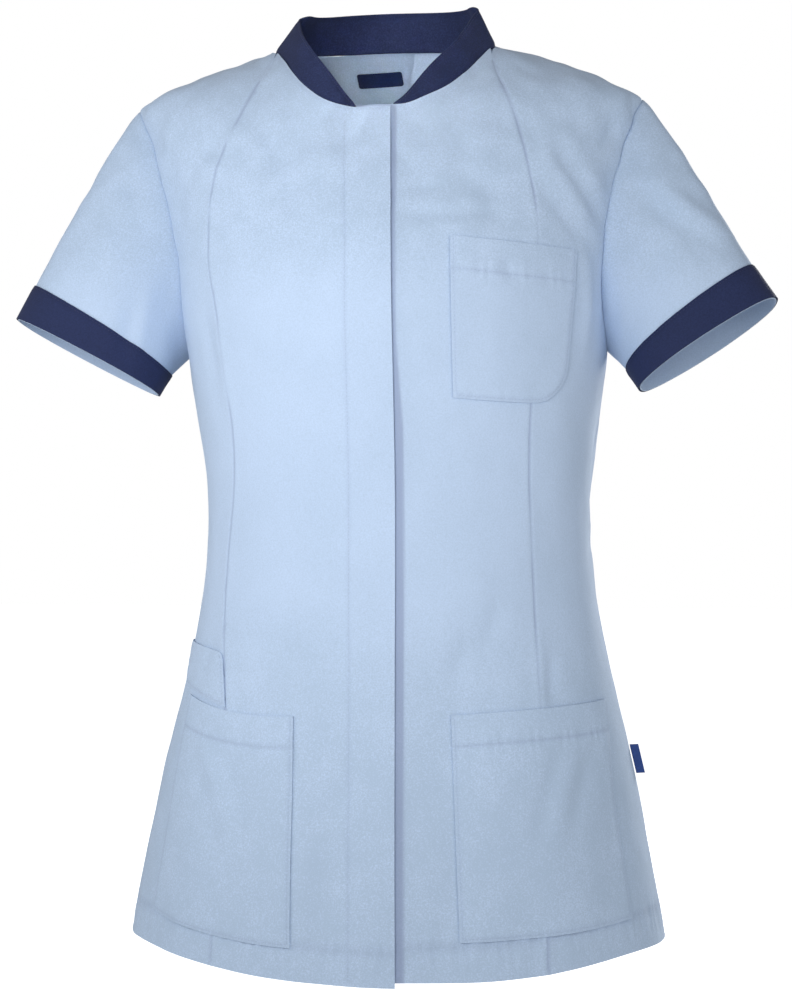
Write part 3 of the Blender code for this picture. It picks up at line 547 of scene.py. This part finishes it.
# %% From a solid to a sheet
MERGE = 0.01 * MM
PAIR_ANGLE = math.radians(40)
PAIR_SHAPE = math.radians(60)
RIM_ANGLE = math.radians(48)
SEED_DOT = 0.85
WALL_MOST = 5 * MM
MIDDLE_HALF = 0.09
MIDDLE_SHARE = 0.6
MIDDLE_TOP = -0.12


def choose_only(thing):
    """Makes one object the only one chosen."""
    bpy.ops.object.select_all(action="DESELECT")
    thing.select_set(True)
    bpy.context.view_layer.objects.active = thing


def body_middle(point):
    """The place inside the body that a point of it faces away from."""
    across = max(-MIDDLE_HALF, min(MIDDLE_HALF, point.x * MIDDLE_SHARE))
    return Vector((across, 0, min(point.z, MIDDLE_TOP)))


def surface_of(sheet):
    """The sheet as it is now, for finding the nearest place on it."""
    mesh = bmesh.new()
    mesh.from_mesh(sheet.data)
    surface = BVHTree.FromBMesh(mesh)
    mesh.free()
    return surface


def copy_node(node, name):
    """A loose copy of a CAD node under a name of its own."""
    choose_only(frame["nodes"][node])
    bpy.ops.object.duplicate()
    piece = bpy.context.active_object
    piece.name = name
    piece.parent = None
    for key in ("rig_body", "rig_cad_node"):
        del piece[key]
    piece.data.materials.clear()
    bpy.ops.mesh.customdata_custom_splitnormals_clear()
    return piece


def join_faces():
    """Merges the active mesh and pairs its triangles. Nothing stays chosen."""
    bpy.context.tool_settings.mesh_select_mode = (False, False, True)
    bpy.ops.object.mode_set(mode="EDIT")
    bpy.ops.mesh.select_all(action="SELECT")
    bpy.ops.mesh.remove_doubles(threshold=MERGE)
    bpy.ops.mesh.tris_convert_to_quads(face_threshold=PAIR_ANGLE, shape_threshold=PAIR_SHAPE)
    bpy.ops.mesh.select_all(action="DESELECT")
    bpy.ops.object.mode_set(mode="OBJECT")


def outer_sheet(name, middle=body_middle, least=SEED_DOT):
    """A copy of a node's outside as an open sheet of quads."""
    sheet = copy_node(name, name + "_cloth")
    join_faces()
    skin = surface_of(sheet)
    for face in sheet.data.polygons:
        away = (face.center - middle(face.center)).normalized()
        behind = skin.ray_cast(face.center - face.normal * MERGE, -face.normal, WALL_MOST)[0]
        face.select = behind is not None and face.normal.dot(away) > least
    bpy.ops.object.mode_set(mode="EDIT")
    bpy.ops.mesh.faces_select_linked_flat(sharpness=RIM_ANGLE)
    bpy.ops.mesh.select_all(action="INVERT")
    bpy.ops.mesh.delete(type="FACE")
    bpy.ops.object.mode_set(mode="OBJECT")
    return sheet


# %% [markdown]
# The CAD mesh is coarse, so the sheet is rounded between its rows. Creases and
# sewing then move its points along their normals.

# %% Rounding and moving a sheet
ROUND_LEVELS = 3


def use_modifier(piece, kind, **settings):
    """Adds a modifier, sets it and applies it."""
    choose_only(piece)
    modifier = piece.modifiers.new(kind.lower(), kind)
    for key, value in settings.items():
        setattr(modifier, key, value)
    bpy.ops.object.modifier_apply(modifier=modifier.name)


def round_off(sheet):
    """Rounds the sheet between its rows, with its corners kept."""
    levels = {"levels": ROUND_LEVELS, "render_levels": ROUND_LEVELS}
    use_modifier(sheet, "SUBSURF", boundary_smooth="PRESERVE_CORNERS", **levels)


def read_points(mesh):
    points = np.empty(len(mesh.vertices) * 3)
    mesh.vertices.foreach_get("co", points)
    return points.reshape(-1, 3)


def read_normals(mesh):
    normals = np.empty(len(mesh.vertices) * 3)
    mesh.vertex_normals.foreach_get("vector", normals)
    return normals.reshape(-1, 3)


def write_points(mesh, points):
    mesh.vertices.foreach_set("co", points.ravel())
    mesh.update()


def stand_out(sheet, amounts):
    """Moves each point along its normal."""
    write_points(sheet.data, read_points(sheet.data) + read_normals(sheet.data) * amounts[:, None])


# %% [markdown]
# Sewing follows edges: a hem is stitched a set distance above its fold, and a
# pocket a needle's width inside its own edge. So the sheet's rim is read as a
# chain of places, each with the way into the cloth. At a square corner the two
# inward ways are added.

# %% The rim of a sheet
Rim = namedtuple("Rim", "places inwards corners")


def read_rims(sheet):
    """Each rim of a sheet as a chain of places, with the way into the cloth."""
    mesh = bmesh.new()
    mesh.from_mesh(sheet.data)
    rims = []
    seen = set()
    for first in mesh.verts:
        if not first.is_boundary or first.index in seen:
            continue
        chain = [first]
        seen.add(first.index)
        while True:
            nexts = [e.other_vert(chain[-1]) for e in chain[-1].link_edges if e.is_boundary]
            nexts = [v for v in nexts if v.index not in seen]
            if not nexts:
                break
            chain.append(nexts[0])
            seen.add(nexts[0].index)
        places = np.array([v.co for v in chain])
        inwards = np.zeros_like(places)
        corners = np.zeros(len(chain), bool)
        for k, vertex in enumerate(chain):
            insides = [e.other_vert(vertex).co for e in vertex.link_edges if not e.is_boundary]
            corners[k] = not insides
            if insides:
                way = sum(insides, Vector()) / len(insides) - vertex.co
                along = (chain[(k + 1) % len(chain)].co - chain[k - 1].co).normalized()
                inwards[k] = (way - along * way.dot(along)).normalized()
        for k in np.flatnonzero(corners):
            inwards[k] = inwards[k - 1] + inwards[(k + 1) % len(chain)]
        rims.append(Rim(places, inwards, corners))
    mesh.free()
    return rims


# %% [markdown]
# A sewing line is the rim moved inwards, only where it is wanted, and laid on
# the cloth at even steps. Close to a corner the places that would crowd
# together are left out.

# %% Lines inside the rim
LINE_STEP = 0.8 * MM


def line_inside(sheet, rims, surface, inset, wanted):
    """The runs of the rim that are wanted, moved into the cloth and laid on it."""
    runs = []
    for rim in rims:
        chosen = np.array([bool(wanted(*both)) for both in zip(rim.places, rim.inwards)])
        crowded = np.zeros(len(chosen), bool)
        for k in np.flatnonzero(rim.corners):
            if chosen[k - 1] and chosen[(k + 1) % len(chosen)]:
                gap = np.linalg.norm(rim.places - rim.places[k], axis=1)
                crowded |= (gap < inset) & (gap > 0)
            else:
                chosen[k] = False
        if not chosen.any():
            continue
        start = 0 if chosen.all() else int(np.flatnonzero(~chosen)[0])
        order = [(start + k) % len(chosen) for k in range(len(chosen))]
        run = []
        for k in order + [None]:
            if k is not None and chosen[k]:
                if not crowded[k]:
                    run.append(rim.places[k] + rim.inwards[k] * inset)
            elif run:
                runs.append(run)
                run = []
        if chosen.all():
            runs[-1].append(runs[-1][0])
    laid = []
    for run in runs:
        if len(run) > 1:
            even = even_steps(np.array(run), LINE_STEP)
            laid.append(np.array([surface.find_nearest(Vector(spot))[0] for spot in even]))
    return laid


def gaps_to(points, line_points):
    """Each point's distance to the nearest of some places, and which one it is."""
    tree = KDTree(len(line_points))
    for k, spot in enumerate(line_points):
        tree.insert(spot, k)
    tree.balance()
    found = [tree.find(point) for point in points]
    return np.array([f[2] for f in found]), np.array([f[1] for f in found])


# %% [markdown]
# A row of stitches pulls the cloth down into a fine groove, and the cloth
# puckers a little on both sides of it. An edge that is turned under stands
# thicker than the cloth beside it, and a seam sinks where two pieces meet.

# %% Pressing sewing into the cloth
GROOVE_WIDE = 1.5 * MM
PUCKER_WIDE = 6 * MM
PUCKER_LONG = 11 * MM
PUCKER_SWAY = 1.7
PUCKER_DRIFT = 0.37
Sewing = namedtuple("Sewing", "inset wanted groove pucker stitched")


def sew(sheet, rims, sewings):
    """Presses sewing lines into a sheet. Gives the lines that carry stitches."""
    surface = surface_of(sheet)
    points = read_points(sheet.data)
    amounts = np.zeros(len(points))
    painted_shade = np.zeros(len(points))
    kept = []
    for number, sewing in enumerate(sewings):
        for line in line_inside(sheet, rims, surface, sewing.inset * MM, sewing.wanted):
            gap, which = gaps_to(points, line)
            groove = np.exp(-((gap / GROOVE_WIDE) ** 2))
            along = which * LINE_STEP / PUCKER_LONG * 2 * math.pi
            wobble = np.sin(along + PUCKER_SWAY * np.sin(along * PUCKER_DRIFT + number))
            amounts -= sewing.groove * MM * groove
            amounts += sewing.pucker * MM * wobble * np.exp(-((gap / PUCKER_WIDE) ** 2))
            # Each groove is also painted darker, more where it is deeper: painted shade.
            painted_shade = np.maximum(painted_shade, groove * sewing.groove)
            if sewing.stitched:
                kept.append(line)
    stand_out(sheet, amounts)
    return kept, painted_shade


def anywhere(place, way):
    return True


def gap_to_rim(sheet, rims, wanted):
    """Each point's distance to the rim that is wanted."""
    spots = [both[0] for rim in rims for both in zip(rim.places, rim.inwards) if wanted(*both)]
    return gaps_to(read_points(sheet.data), spots)[0]


def turn_edges(sheet, rims, wanted, width, amount):
    """Lifts or sinks the cloth towards the rim that is wanted."""
    gap = gap_to_rim(sheet, rims, wanted)
    stand_out(sheet, amount * MM * np.exp(-((gap / (width * MM)) ** 2)))
    return gap


# %% [markdown]
# The CAD solids stand 0.3 mm apart at each seam. Real seams are closed, so the
# rim of every sheet is let out by a little more than half of that.

# %% Closing the seams
SEAM_LET_OUT = 0.19
PLACE_DIGITS = 7


def let_out(sheet):
    """Moves the rim outwards in the plane of the cloth."""
    ways = {}
    for rim in read_rims(sheet):
        for place, way in zip(rim.places, rim.inwards):
            ways[tuple(np.round(place, PLACE_DIGITS))] = way
    points = read_points(sheet.data)
    for k, point in enumerate(points):
        way = ways.get(tuple(np.round(point, PLACE_DIGITS)))
        if way is not None:
            points[k] = point - way * SEAM_LET_OUT * MM
    write_points(sheet.data, points)
    return read_rims(sheet)


# %% [markdown]
# Thickness comes last. Solidify grows the sheet inwards, more where a hem is
# folded double. A map in metres is laid on it for the weave: round the body,
# the sleeve or the neck one way, and up it the other.

# %% Thickness, map and frame
Cut = namedtuple("Cut", "width length area held")
CLOTH_THICK = 0.8
HEM_THICK = 1.5
SMOOTH_ANGLE = math.radians(50)


def lay_weave(piece, middle, radius):
    """Maps the cloth in metres: round its middle line, and up."""
    points = read_points(piece.data)
    turns = np.arctan2(points[:, 0] - middle[0], (middle[1] - points[:, 1]) * middle[2])
    flat = np.stack([turns * radius, points[:, 2]], axis=1)
    layer = piece.data.uv_layers.new(name="weave")
    corners = np.empty(len(piece.data.loops), int)
    piece.data.loops.foreach_get("vertex_index", corners)
    layer.data.foreach_set("uv", flat[corners].ravel())


def keep_painted_shade(piece, painted_shade):
    """Keeps how much painted shade lies at each point of the cloth, for its colour."""
    attribute = piece.data.attributes.new("painted_shade", "FLOAT", "POINT")
    attribute.data.foreach_set("value", painted_shade.astype(np.float32))


def thicken(sheet, thick, double=None):
    """Gives the sheet its thickness inwards, and more where it is double."""
    settings = {"thickness": thick * MM, "offset": -1, "use_rim": True}
    if double is not None:
        group = sheet.vertex_groups.new(name="double")
        for k in np.flatnonzero(double > 0):
            group.add([int(k)], float(double[k]), "REPLACE")
        settings.update(thickness=HEM_THICK * MM, vertex_group="double")
        settings["thickness_vertex_group"] = thick / HEM_THICK
    use_modifier(sheet, "SOLIDIFY", **settings)


def cloth_area(sheet):
    return sum(face.area for face in sheet.data.polygons)


def settle(piece, node, finish_name):
    """Gives a finished cloth piece its material, smooth shading and body, and hides its CAD node."""
    piece.data.materials.clear()
    piece.data.materials.append(FINISHES[finish_name])
    choose_only(piece)
    bpy.ops.object.shade_smooth_by_angle(angle=SMOOTH_ANGLE)
    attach(piece, "root")
    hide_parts(node)


# %% [markdown]
# One stitch is a small lozenge of thread. It is modelled once and laid in rows
# of hundreds along the sewing lines, each one turned to its line and sunk a
# little into the cloth.

# %% Stitches
STITCH_PITCH = 2.8 * MM
STITCH_LONG = 2.2 * MM
STITCH_WIDE = 0.34 * MM
STITCH_FLAT = 0.8
STITCH_SINK = 0.04 * MM

bpy.ops.object.select_all(action="DESELECT")
bpy.ops.mesh.primitive_ico_sphere_add(subdivisions=1, radius=0.5)
one_stitch = bpy.context.active_object
bpy.ops.object.mode_set(mode="EDIT")
bpy.ops.transform.resize(value=(STITCH_LONG, STITCH_WIDE, STITCH_WIDE * STITCH_FLAT))
bpy.ops.object.mode_set(mode="OBJECT")
STITCH_POINTS = read_points(one_stitch.data)
STITCH_FACES = np.array([list(face.vertices) for face in one_stitch.data.polygons])
bpy.data.objects.remove(one_stitch)
print("one stitch has", len(STITCH_FACES), "faces")


def stitch_rows(name, lines, surface, material):
    """One mesh of all the stitches along some lines on a surface."""
    points = []
    faces = []
    for line in lines:
        line = even_steps(line, STITCH_PITCH)
        for here, there in zip(line[:-1], line[1:]):
            place, normal, _, _ = surface.find_nearest(Vector((here + there) / 2))
            along = (Vector(there - here) - normal * Vector(there - here).dot(normal)).normalized()
            beside = normal.cross(along)
            turn = np.array([along, beside, normal])
            faces.append(STITCH_FACES + len(points) * len(STITCH_POINTS))
            points.append(STITCH_POINTS @ turn + np.array(place - normal * STITCH_SINK))
    mesh = bpy.data.meshes.new(name)
    mesh.from_pydata(np.concatenate(points).tolist(), [], np.concatenate(faces).tolist())
    piece = bpy.data.objects.new(name, mesh)
    bpy.context.scene.collection.objects.link(piece)
    mesh.materials.append(material)
    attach(piece, "root")
    print(name, len(points), "stitches")
    return piece


# %% [markdown]
# Each stretch of a panel's rim is sewn in its own way: the hem, the neck, the
# front edges and the seams. A stretch is known by where it lies and by which
# way the cloth goes from it.

# %% Stretches of a panel's rim
HEM_BELOW = -0.6
HEM_WAY = 0.7
NECK_ABOVE = -0.067
NECK_HALF = 0.088
FRONT_BELOW = -0.07
FRONT_HALF = 0.05
FRONT_WAY = 0.8


def at_hem(place, way):
    return place[2] < HEM_BELOW and way[2] > HEM_WAY


def at_neck(place, way):
    return place[2] > NECK_ABOVE and abs(place[0]) < NECK_HALF


def at_front_edge(place, way):
    close = place[1] < 0 and abs(place[0]) < FRONT_HALF
    return close and abs(way[0]) > FRONT_WAY and place[2] < FRONT_BELOW


def at_seam(place, way):
    return not at_hem(place, way) and not at_neck(place, way) and abs(place[0]) > FRONT_HALF


# %% [markdown]
# The body has five panels. The back is one piece. Each front is split by a long
# seam from the neck over the bust to the hem, which is what shapes the waist.
# All five share one recipe: seams closed and sunk, the hem turned up 25 mm and
# stitched, creases pressed in, shade painted along the seams. The left front
# passes beneath the right one, so it is lifted against it, and a strip of
# painted shadow lies on it beside that edge.

# %% Body panels
BODY_RADIUS = 0.15
BODY_MIDDLE = 0.006
HEM_TURN = 25.0
HEM_RIDGE = 11.0
NECK_SEAM = 1.6
PANEL_CUTS = {
    "back": Cut(0.50, 0.76, 0.330, "hung"),
    "front_right": Cut(0.20, 0.72, 0.104, "hung"),
    "front_left": Cut(0.20, 0.72, 0.106, "hung"),
    "side_front_right": Cut(0.17, 0.73, 0.084, "hung"),
    "side_front_left": Cut(0.18, 0.73, 0.089, "hung"),
}
PLACKET_WIDE = 34
SEAM_DARK = 0.6
EDGE_STEP = 0.4 * MM
OVERLAP_LIFT = 1.3 * MM
OVERLAP_REACH = 9 * MM
SHADE = 0.66
SHADE_FADE = 1.6 * MM
SHADE_UPS = (-0.70, -0.30, -0.24, -0.17, -0.10)
SHADE_WIDTHS = (7.0, 7.0, 3.6, 3.8, 5.0)
SEAM_FADE = 0.8 * MM
TOP_FRONT = 1
EDGE_LINES = []
ROWS = []


def gap_to_top_front(sheet):
    """Each point's distance to the rim of the front that lies on top."""
    return gaps_to(read_points(sheet.data), EDGE_LINES[TOP_FRONT])[0]


def panel_sewings(name):
    """The sewing lines of a panel."""
    sewings = [
        Sewing(HEM_TURN, at_hem, 0.7, 0.5, True),
        Sewing(HEM_TURN - HEM_RIDGE, at_hem, 0.0, 0.4, False),
    ]
    if name == "front_right":
        sewings.append(Sewing(PLACKET_WIDE, at_front_edge, 0.15, 0.1, True))
    if name != "front_left":
        sewings.append(Sewing(NECK_SEAM, at_neck, 0.2, 0.0, False))
    return sewings


def seam_shade(gap):
    """How much painted shade lies on the cloth at each distance from a seam."""
    return SEAM_DARK * np.exp(-((gap / SEAM_FADE) ** 2))


def overlap_shade(sheet):
    """The painted shadow of the upper front's edge: a strip of darker colour beside it."""
    wide = np.interp(read_points(sheet.data)[:, 2], SHADE_UPS, SHADE_WIDTHS) * MM
    return SHADE * np.clip((wide - gap_to_top_front(sheet)) / SHADE_FADE + 0.5, 0, 1)


def add_panel(name):
    """One body panel, sewn and creased."""
    sheet = outer_sheet(name)
    round_off(sheet)
    rims = let_out(sheet)
    area = cloth_area(sheet)
    stand_out(sheet, relief(read_points(sheet.data)))
    if name == "front_left":
        stand_out(sheet, OVERLAP_LIFT * np.exp(-((gap_to_top_front(sheet) / OVERLAP_REACH) ** 2)))
    turn_edges(sheet, rims, at_seam, 7, 0.3)
    seam_gap = turn_edges(sheet, rims, at_seam, 1.3, -0.55)
    rims = read_rims(sheet)
    lines, painted_shade = sew(sheet, rims, panel_sewings(name))
    # Seams get painted shade, and the left front gets a strip of painted shadow beside the upper front's
    # edge.
    painted_shade = np.maximum(painted_shade, seam_shade(seam_gap))
    if name == "front_left":
        painted_shade = np.maximum(painted_shade, overlap_shade(sheet))
    double = (gap_to_rim(sheet, rims, at_hem) < HEM_TURN * MM).astype(float)
    if name.startswith("front"):
        double = np.maximum(double, gap_to_rim(sheet, rims, at_front_edge) < PLACKET_WIDE * MM)
    keep_painted_shade(sheet, painted_shade)
    EDGE_LINES.extend(even_steps(rim.places, EDGE_STEP) for rim in rims)
    ROWS.append((name, lines, surface_of(sheet), PALE_THREAD))
    thicken(sheet, CLOTH_THICK, double)
    side = -1 if name == "back" else 1
    lay_weave(sheet, (BODY_MIDDLE, 0, side), BODY_RADIUS)
    settle(sheet, name, "pale_cloth")
    print(name, "cloth", round(area, 4), "m2,", len(sheet.data.polygons), "faces")


for panel in PANEL_CUTS:
    add_panel(panel)

# %% [markdown]
# A short set-in sleeve is a tube with a rounded cap. Its cloth eases into the
# armhole, so the seam sinks and the cap stands a little proud beside it.

# %% Sleeves
SEAT_REACH = 14 * MM
SLEEVE_RADIUS = 0.055
ARMHOLE_AT = Vector((0.165, 0, -0.14))
SLEEVE_END_AT = Vector((0.245, -0.03, -0.24))
SLEEVE_MAP_AT = (0.2, -0.015)


def sleeve_middle(sign):
    """The middle line of a sleeve, as a function for outer_sheet."""
    start = Vector((sign * ARMHOLE_AT.x, ARMHOLE_AT.y, ARMHOLE_AT.z))
    way = Vector((sign * SLEEVE_END_AT.x, SLEEVE_END_AT.y, SLEEVE_END_AT.z)) - start

    def nearest(point):
        share = max(0, min(1, (point - start).dot(way) / way.length_squared))
        return start + way * share

    return nearest


def seat_on_armhole(sheet, rim):
    """Draws the rim of the cap on to the panels' edges, and the cloth beside it along."""
    edges = np.concatenate(EDGE_LINES)
    _, nearest = gaps_to(rim.places, edges)
    pull = edges[nearest] - rim.places
    points = read_points(sheet.data)
    gap, which = gaps_to(points, rim.places)
    share = np.exp(-((gap / SEAT_REACH) ** 2))
    write_points(sheet.data, points + pull[which] * share[:, None])
    return np.linalg.norm(pull, axis=1).max()


def top_rim(sheet):
    """The upper one of a tube's two rims."""
    return max(read_rims(sheet), key=lambda rim: rim.places[:, 2].mean())


def add_sleeve(side, sign):
    """A sleeve, drawn on to its armhole."""
    name = "sleeve_" + side
    sheet = outer_sheet(name, sleeve_middle(sign))
    round_off(sheet)
    area = cloth_area(sheet)
    let_out(sheet)
    stand_out(sheet, relief(read_points(sheet.data)))
    drawn = seat_on_armhole(sheet, top_rim(sheet))
    armhole = [top_rim(sheet)]
    gap = turn_edges(sheet, armhole, anywhere, 7, 0.4)
    turn_edges(sheet, armhole, anywhere, 1.3, -0.4)
    # The armhole seam gets painted shade.
    keep_painted_shade(sheet, seam_shade(gap))
    thicken(sheet, CLOTH_THICK)
    lay_weave(sheet, (sign * SLEEVE_MAP_AT[0], SLEEVE_MAP_AT[1], 1), SLEEVE_RADIUS)
    settle(sheet, name, "pale_cloth")
    print(name, "cloth", round(area, 4), "m2, drawn", round(drawn / MM, 1), "mm to the armhole at most")


# %% [markdown]
# A navy band is sewn over each sleeve's end. It is stitched along its upper
# edge, which sinks a little. Each sleeve is made with its own band.

# %% Cuffs
CUFF_THICK = 0.9
CUFF_MAP_AT = (0.24, -0.03)


def add_cuff(side, sign):
    """The band round a sleeve's end."""
    name = "cuff_" + side
    band = outer_sheet(name, sleeve_middle(sign))
    round_off(band)
    area = cloth_area(band)
    stand_out(band, relief(read_points(band.data)))
    upper = [top_rim(band)]
    turn_edges(band, upper, anywhere, 1.4, -0.5)
    lines, painted_shade = sew(band, upper, [Sewing(2.0, anywhere, 0.25, 0.06, True)])
    keep_painted_shade(band, painted_shade)
    ROWS.append((name, lines, surface_of(band), NAVY_THREAD))
    thicken(band, CUFF_THICK)
    lay_weave(band, (sign * CUFF_MAP_AT[0], CUFF_MAP_AT[1], 1), SLEEVE_RADIUS)
    settle(band, name, "navy_cloth")
    print(name, "cloth", round(area, 4), "m2")


for side, sign in (("right", -1), ("left", 1)):
    add_sleeve(side, sign)
    add_cuff(side, sign)

# %% [markdown]
# The collar is a straight stand, two layers of navy cloth turned and pressed,
# so it is twice as thick as the panels and its top edge is softly round.

# %% Collar
COLLAR_RADIUS = 0.075
COLLAR_MIDDLE = 0.005
COLLAR_LEAST = 0.3
COLLAR_THICK = 1.5
COLLAR_ROUND = 0.5 * MM
COLLAR_EDGE = math.radians(60)
COLLAR_SEWING = Sewing(1.8, anywhere, 0.2, 0.05, True)


def neck_middle(point):
    return Vector((0, 0, point.z))


collar = outer_sheet("collar", neck_middle, COLLAR_LEAST)
round_off(collar)
collar_area = cloth_area(collar)
collar_lines, collar_painted_shade = sew(collar, read_rims(collar), [COLLAR_SEWING])
keep_painted_shade(collar, collar_painted_shade)
ROWS.append(("collar", collar_lines, surface_of(collar), NAVY_THREAD))
thicken(collar, COLLAR_THICK)
bevel = {"width": COLLAR_ROUND, "segments": 3, "limit_method": "ANGLE", "angle_limit": COLLAR_EDGE}
use_modifier(collar, "BEVEL", **bevel)
lay_weave(collar, (0, COLLAR_MIDDLE, 1), COLLAR_RADIUS)
settle(collar, "collar", "navy_cloth")
print("collar cloth", round(collar_area, 4), "m2")

# %% [markdown]
# A patch pocket is hemmed at the mouth, pressed under round its other edges and
# stitched down close to them. Its edges lie against the panel and its middle
# stands a little off it, and the mouth gapes slightly.

# %% Pockets
MOUTH_WAY = -0.75
Patch = namedtuple("Patch", "node hem groove cut")
PATCHES = [
    Patch("pocket_chest", 24.0, 0.2, Cut(0.095, 0.120, 0.0113, "hung")),
    Patch("pocket_hip_left", 22.0, 0.3, Cut(0.140, 0.168, 0.0230, "hung")),
    Patch("pocket_hip_right", 22.0, 0.3, Cut(0.120, 0.168, 0.0196, "hung")),
    Patch("pocket_ticket", 0.0, 0.0, Cut(0.055, 0.048, 0.0025, "hung")),
]


def at_mouth(place, way):
    return way[2] < MOUTH_WAY


def at_side(place, way):
    return not at_mouth(place, way)


def add_patch(patch):
    """One patch pocket, hemmed and sewn down."""
    sheet = outer_sheet(patch.node)
    round_off(sheet)
    area = cloth_area(sheet)
    stand_out(sheet, relief(read_points(sheet.data)))
    turn_edges(sheet, read_rims(sheet), at_side, 2.0, -0.6)
    sewings = [Sewing(2.2, at_side, 0.16, 0.14, True)]
    if patch.hem:
        sewings.append(Sewing(patch.hem, at_mouth, patch.groove, 0.25, True))
    lines, painted_shade = sew(sheet, read_rims(sheet), sewings)
    keep_painted_shade(sheet, painted_shade)
    ROWS.append((patch.node, lines, surface_of(sheet), PALE_THREAD))
    thicken(sheet, CLOTH_THICK)
    lay_weave(sheet, (BODY_MIDDLE, 0, 1), BODY_RADIUS)
    settle(sheet, patch.node, "pale_cloth")
    print(patch.node, "cloth", round(area, 4), "m2")


for patch in PATCHES:
    add_patch(patch)

# %% [markdown]
# The rows of stitches are made once all their cloth is in place.

# %% Stitch rows
for name, lines, surface, thread in ROWS:
    if lines:
        rows = stitch_rows(name + "_stitches", lines, surface, thread)

# %% [markdown]
# The labels stay bare: woven tape, and nothing on it. The one in the neck is
# a low plate with round corners, sewn on a little aslant. It starts as a copy
# of its solid, which already follows the curve of the back. The edges through
# the tape at its four corners are bevelled.

# %% Labels
LABEL_LOWER = 0.77
LABEL_TURN = math.radians(3.2)
LABEL_SHIFT = Vector((-2.8, -1.4, 1.6)) * MM
LABEL_ROUND = 2.2 * MM
NEAR_CORNER = 1.0 * MM
THROUGH_TAPE = 1.5 * MM


def is_corner(edge, places, low, high):
    """Whether an edge goes through the tape at one of its corners."""
    one, other = (places[k] for k in edge.vertices)
    middle = (one + other) / 2
    at_end = min(middle.x - low.x, high.x - middle.x) < NEAR_CORNER
    at_rim = min(middle.z - low.z, high.z - middle.z) < NEAR_CORNER
    return at_end and at_rim and (one - other).length < THROUGH_TAPE


neck_label = copy_node("label_neck", "neck_label_tape")
label_places = read_points(neck_label.data)
label_low = Vector(label_places.min(0))
label_high = Vector(label_places.max(0))
label_middle = Vector((label_places.min(0) + label_places.max(0)) / 2)
join_faces()
bpy.context.tool_settings.mesh_select_mode = (False, True, False)
tape_places = [vertex.co for vertex in neck_label.data.vertices]
for edge in neck_label.data.edges:
    edge.select = is_corner(edge, tape_places, label_low, label_high)
corner_edges = sum(edge.select for edge in neck_label.data.edges)
bpy.ops.object.mode_set(mode="EDIT")
bpy.ops.mesh.bevel(offset=LABEL_ROUND, segments=4, affect="EDGES")
bpy.ops.mesh.select_all(action="SELECT")
bpy.ops.transform.resize(value=(1, 1, LABEL_LOWER), center_override=label_middle)
bpy.ops.transform.rotate(value=LABEL_TURN, orient_axis="Y", center_override=label_middle)
bpy.ops.transform.translate(value=LABEL_SHIFT)
bpy.ops.object.mode_set(mode="OBJECT")
keep_painted_shade(neck_label, np.zeros(len(neck_label.data.vertices)))
lay_weave(neck_label, (BODY_MIDDLE, 0, -1), BODY_RADIUS)
settle(neck_label, "label_neck", "label_cloth")
print("neck label:", corner_edges, "corner edges,", len(neck_label.data.polygons), "faces")

side_label = frame["nodes"]["label_side"]
side_label.data.materials.clear()
side_label.data.materials.append(FINISHES["side_label"])
print("side label:", side_label.data.materials[0].name)
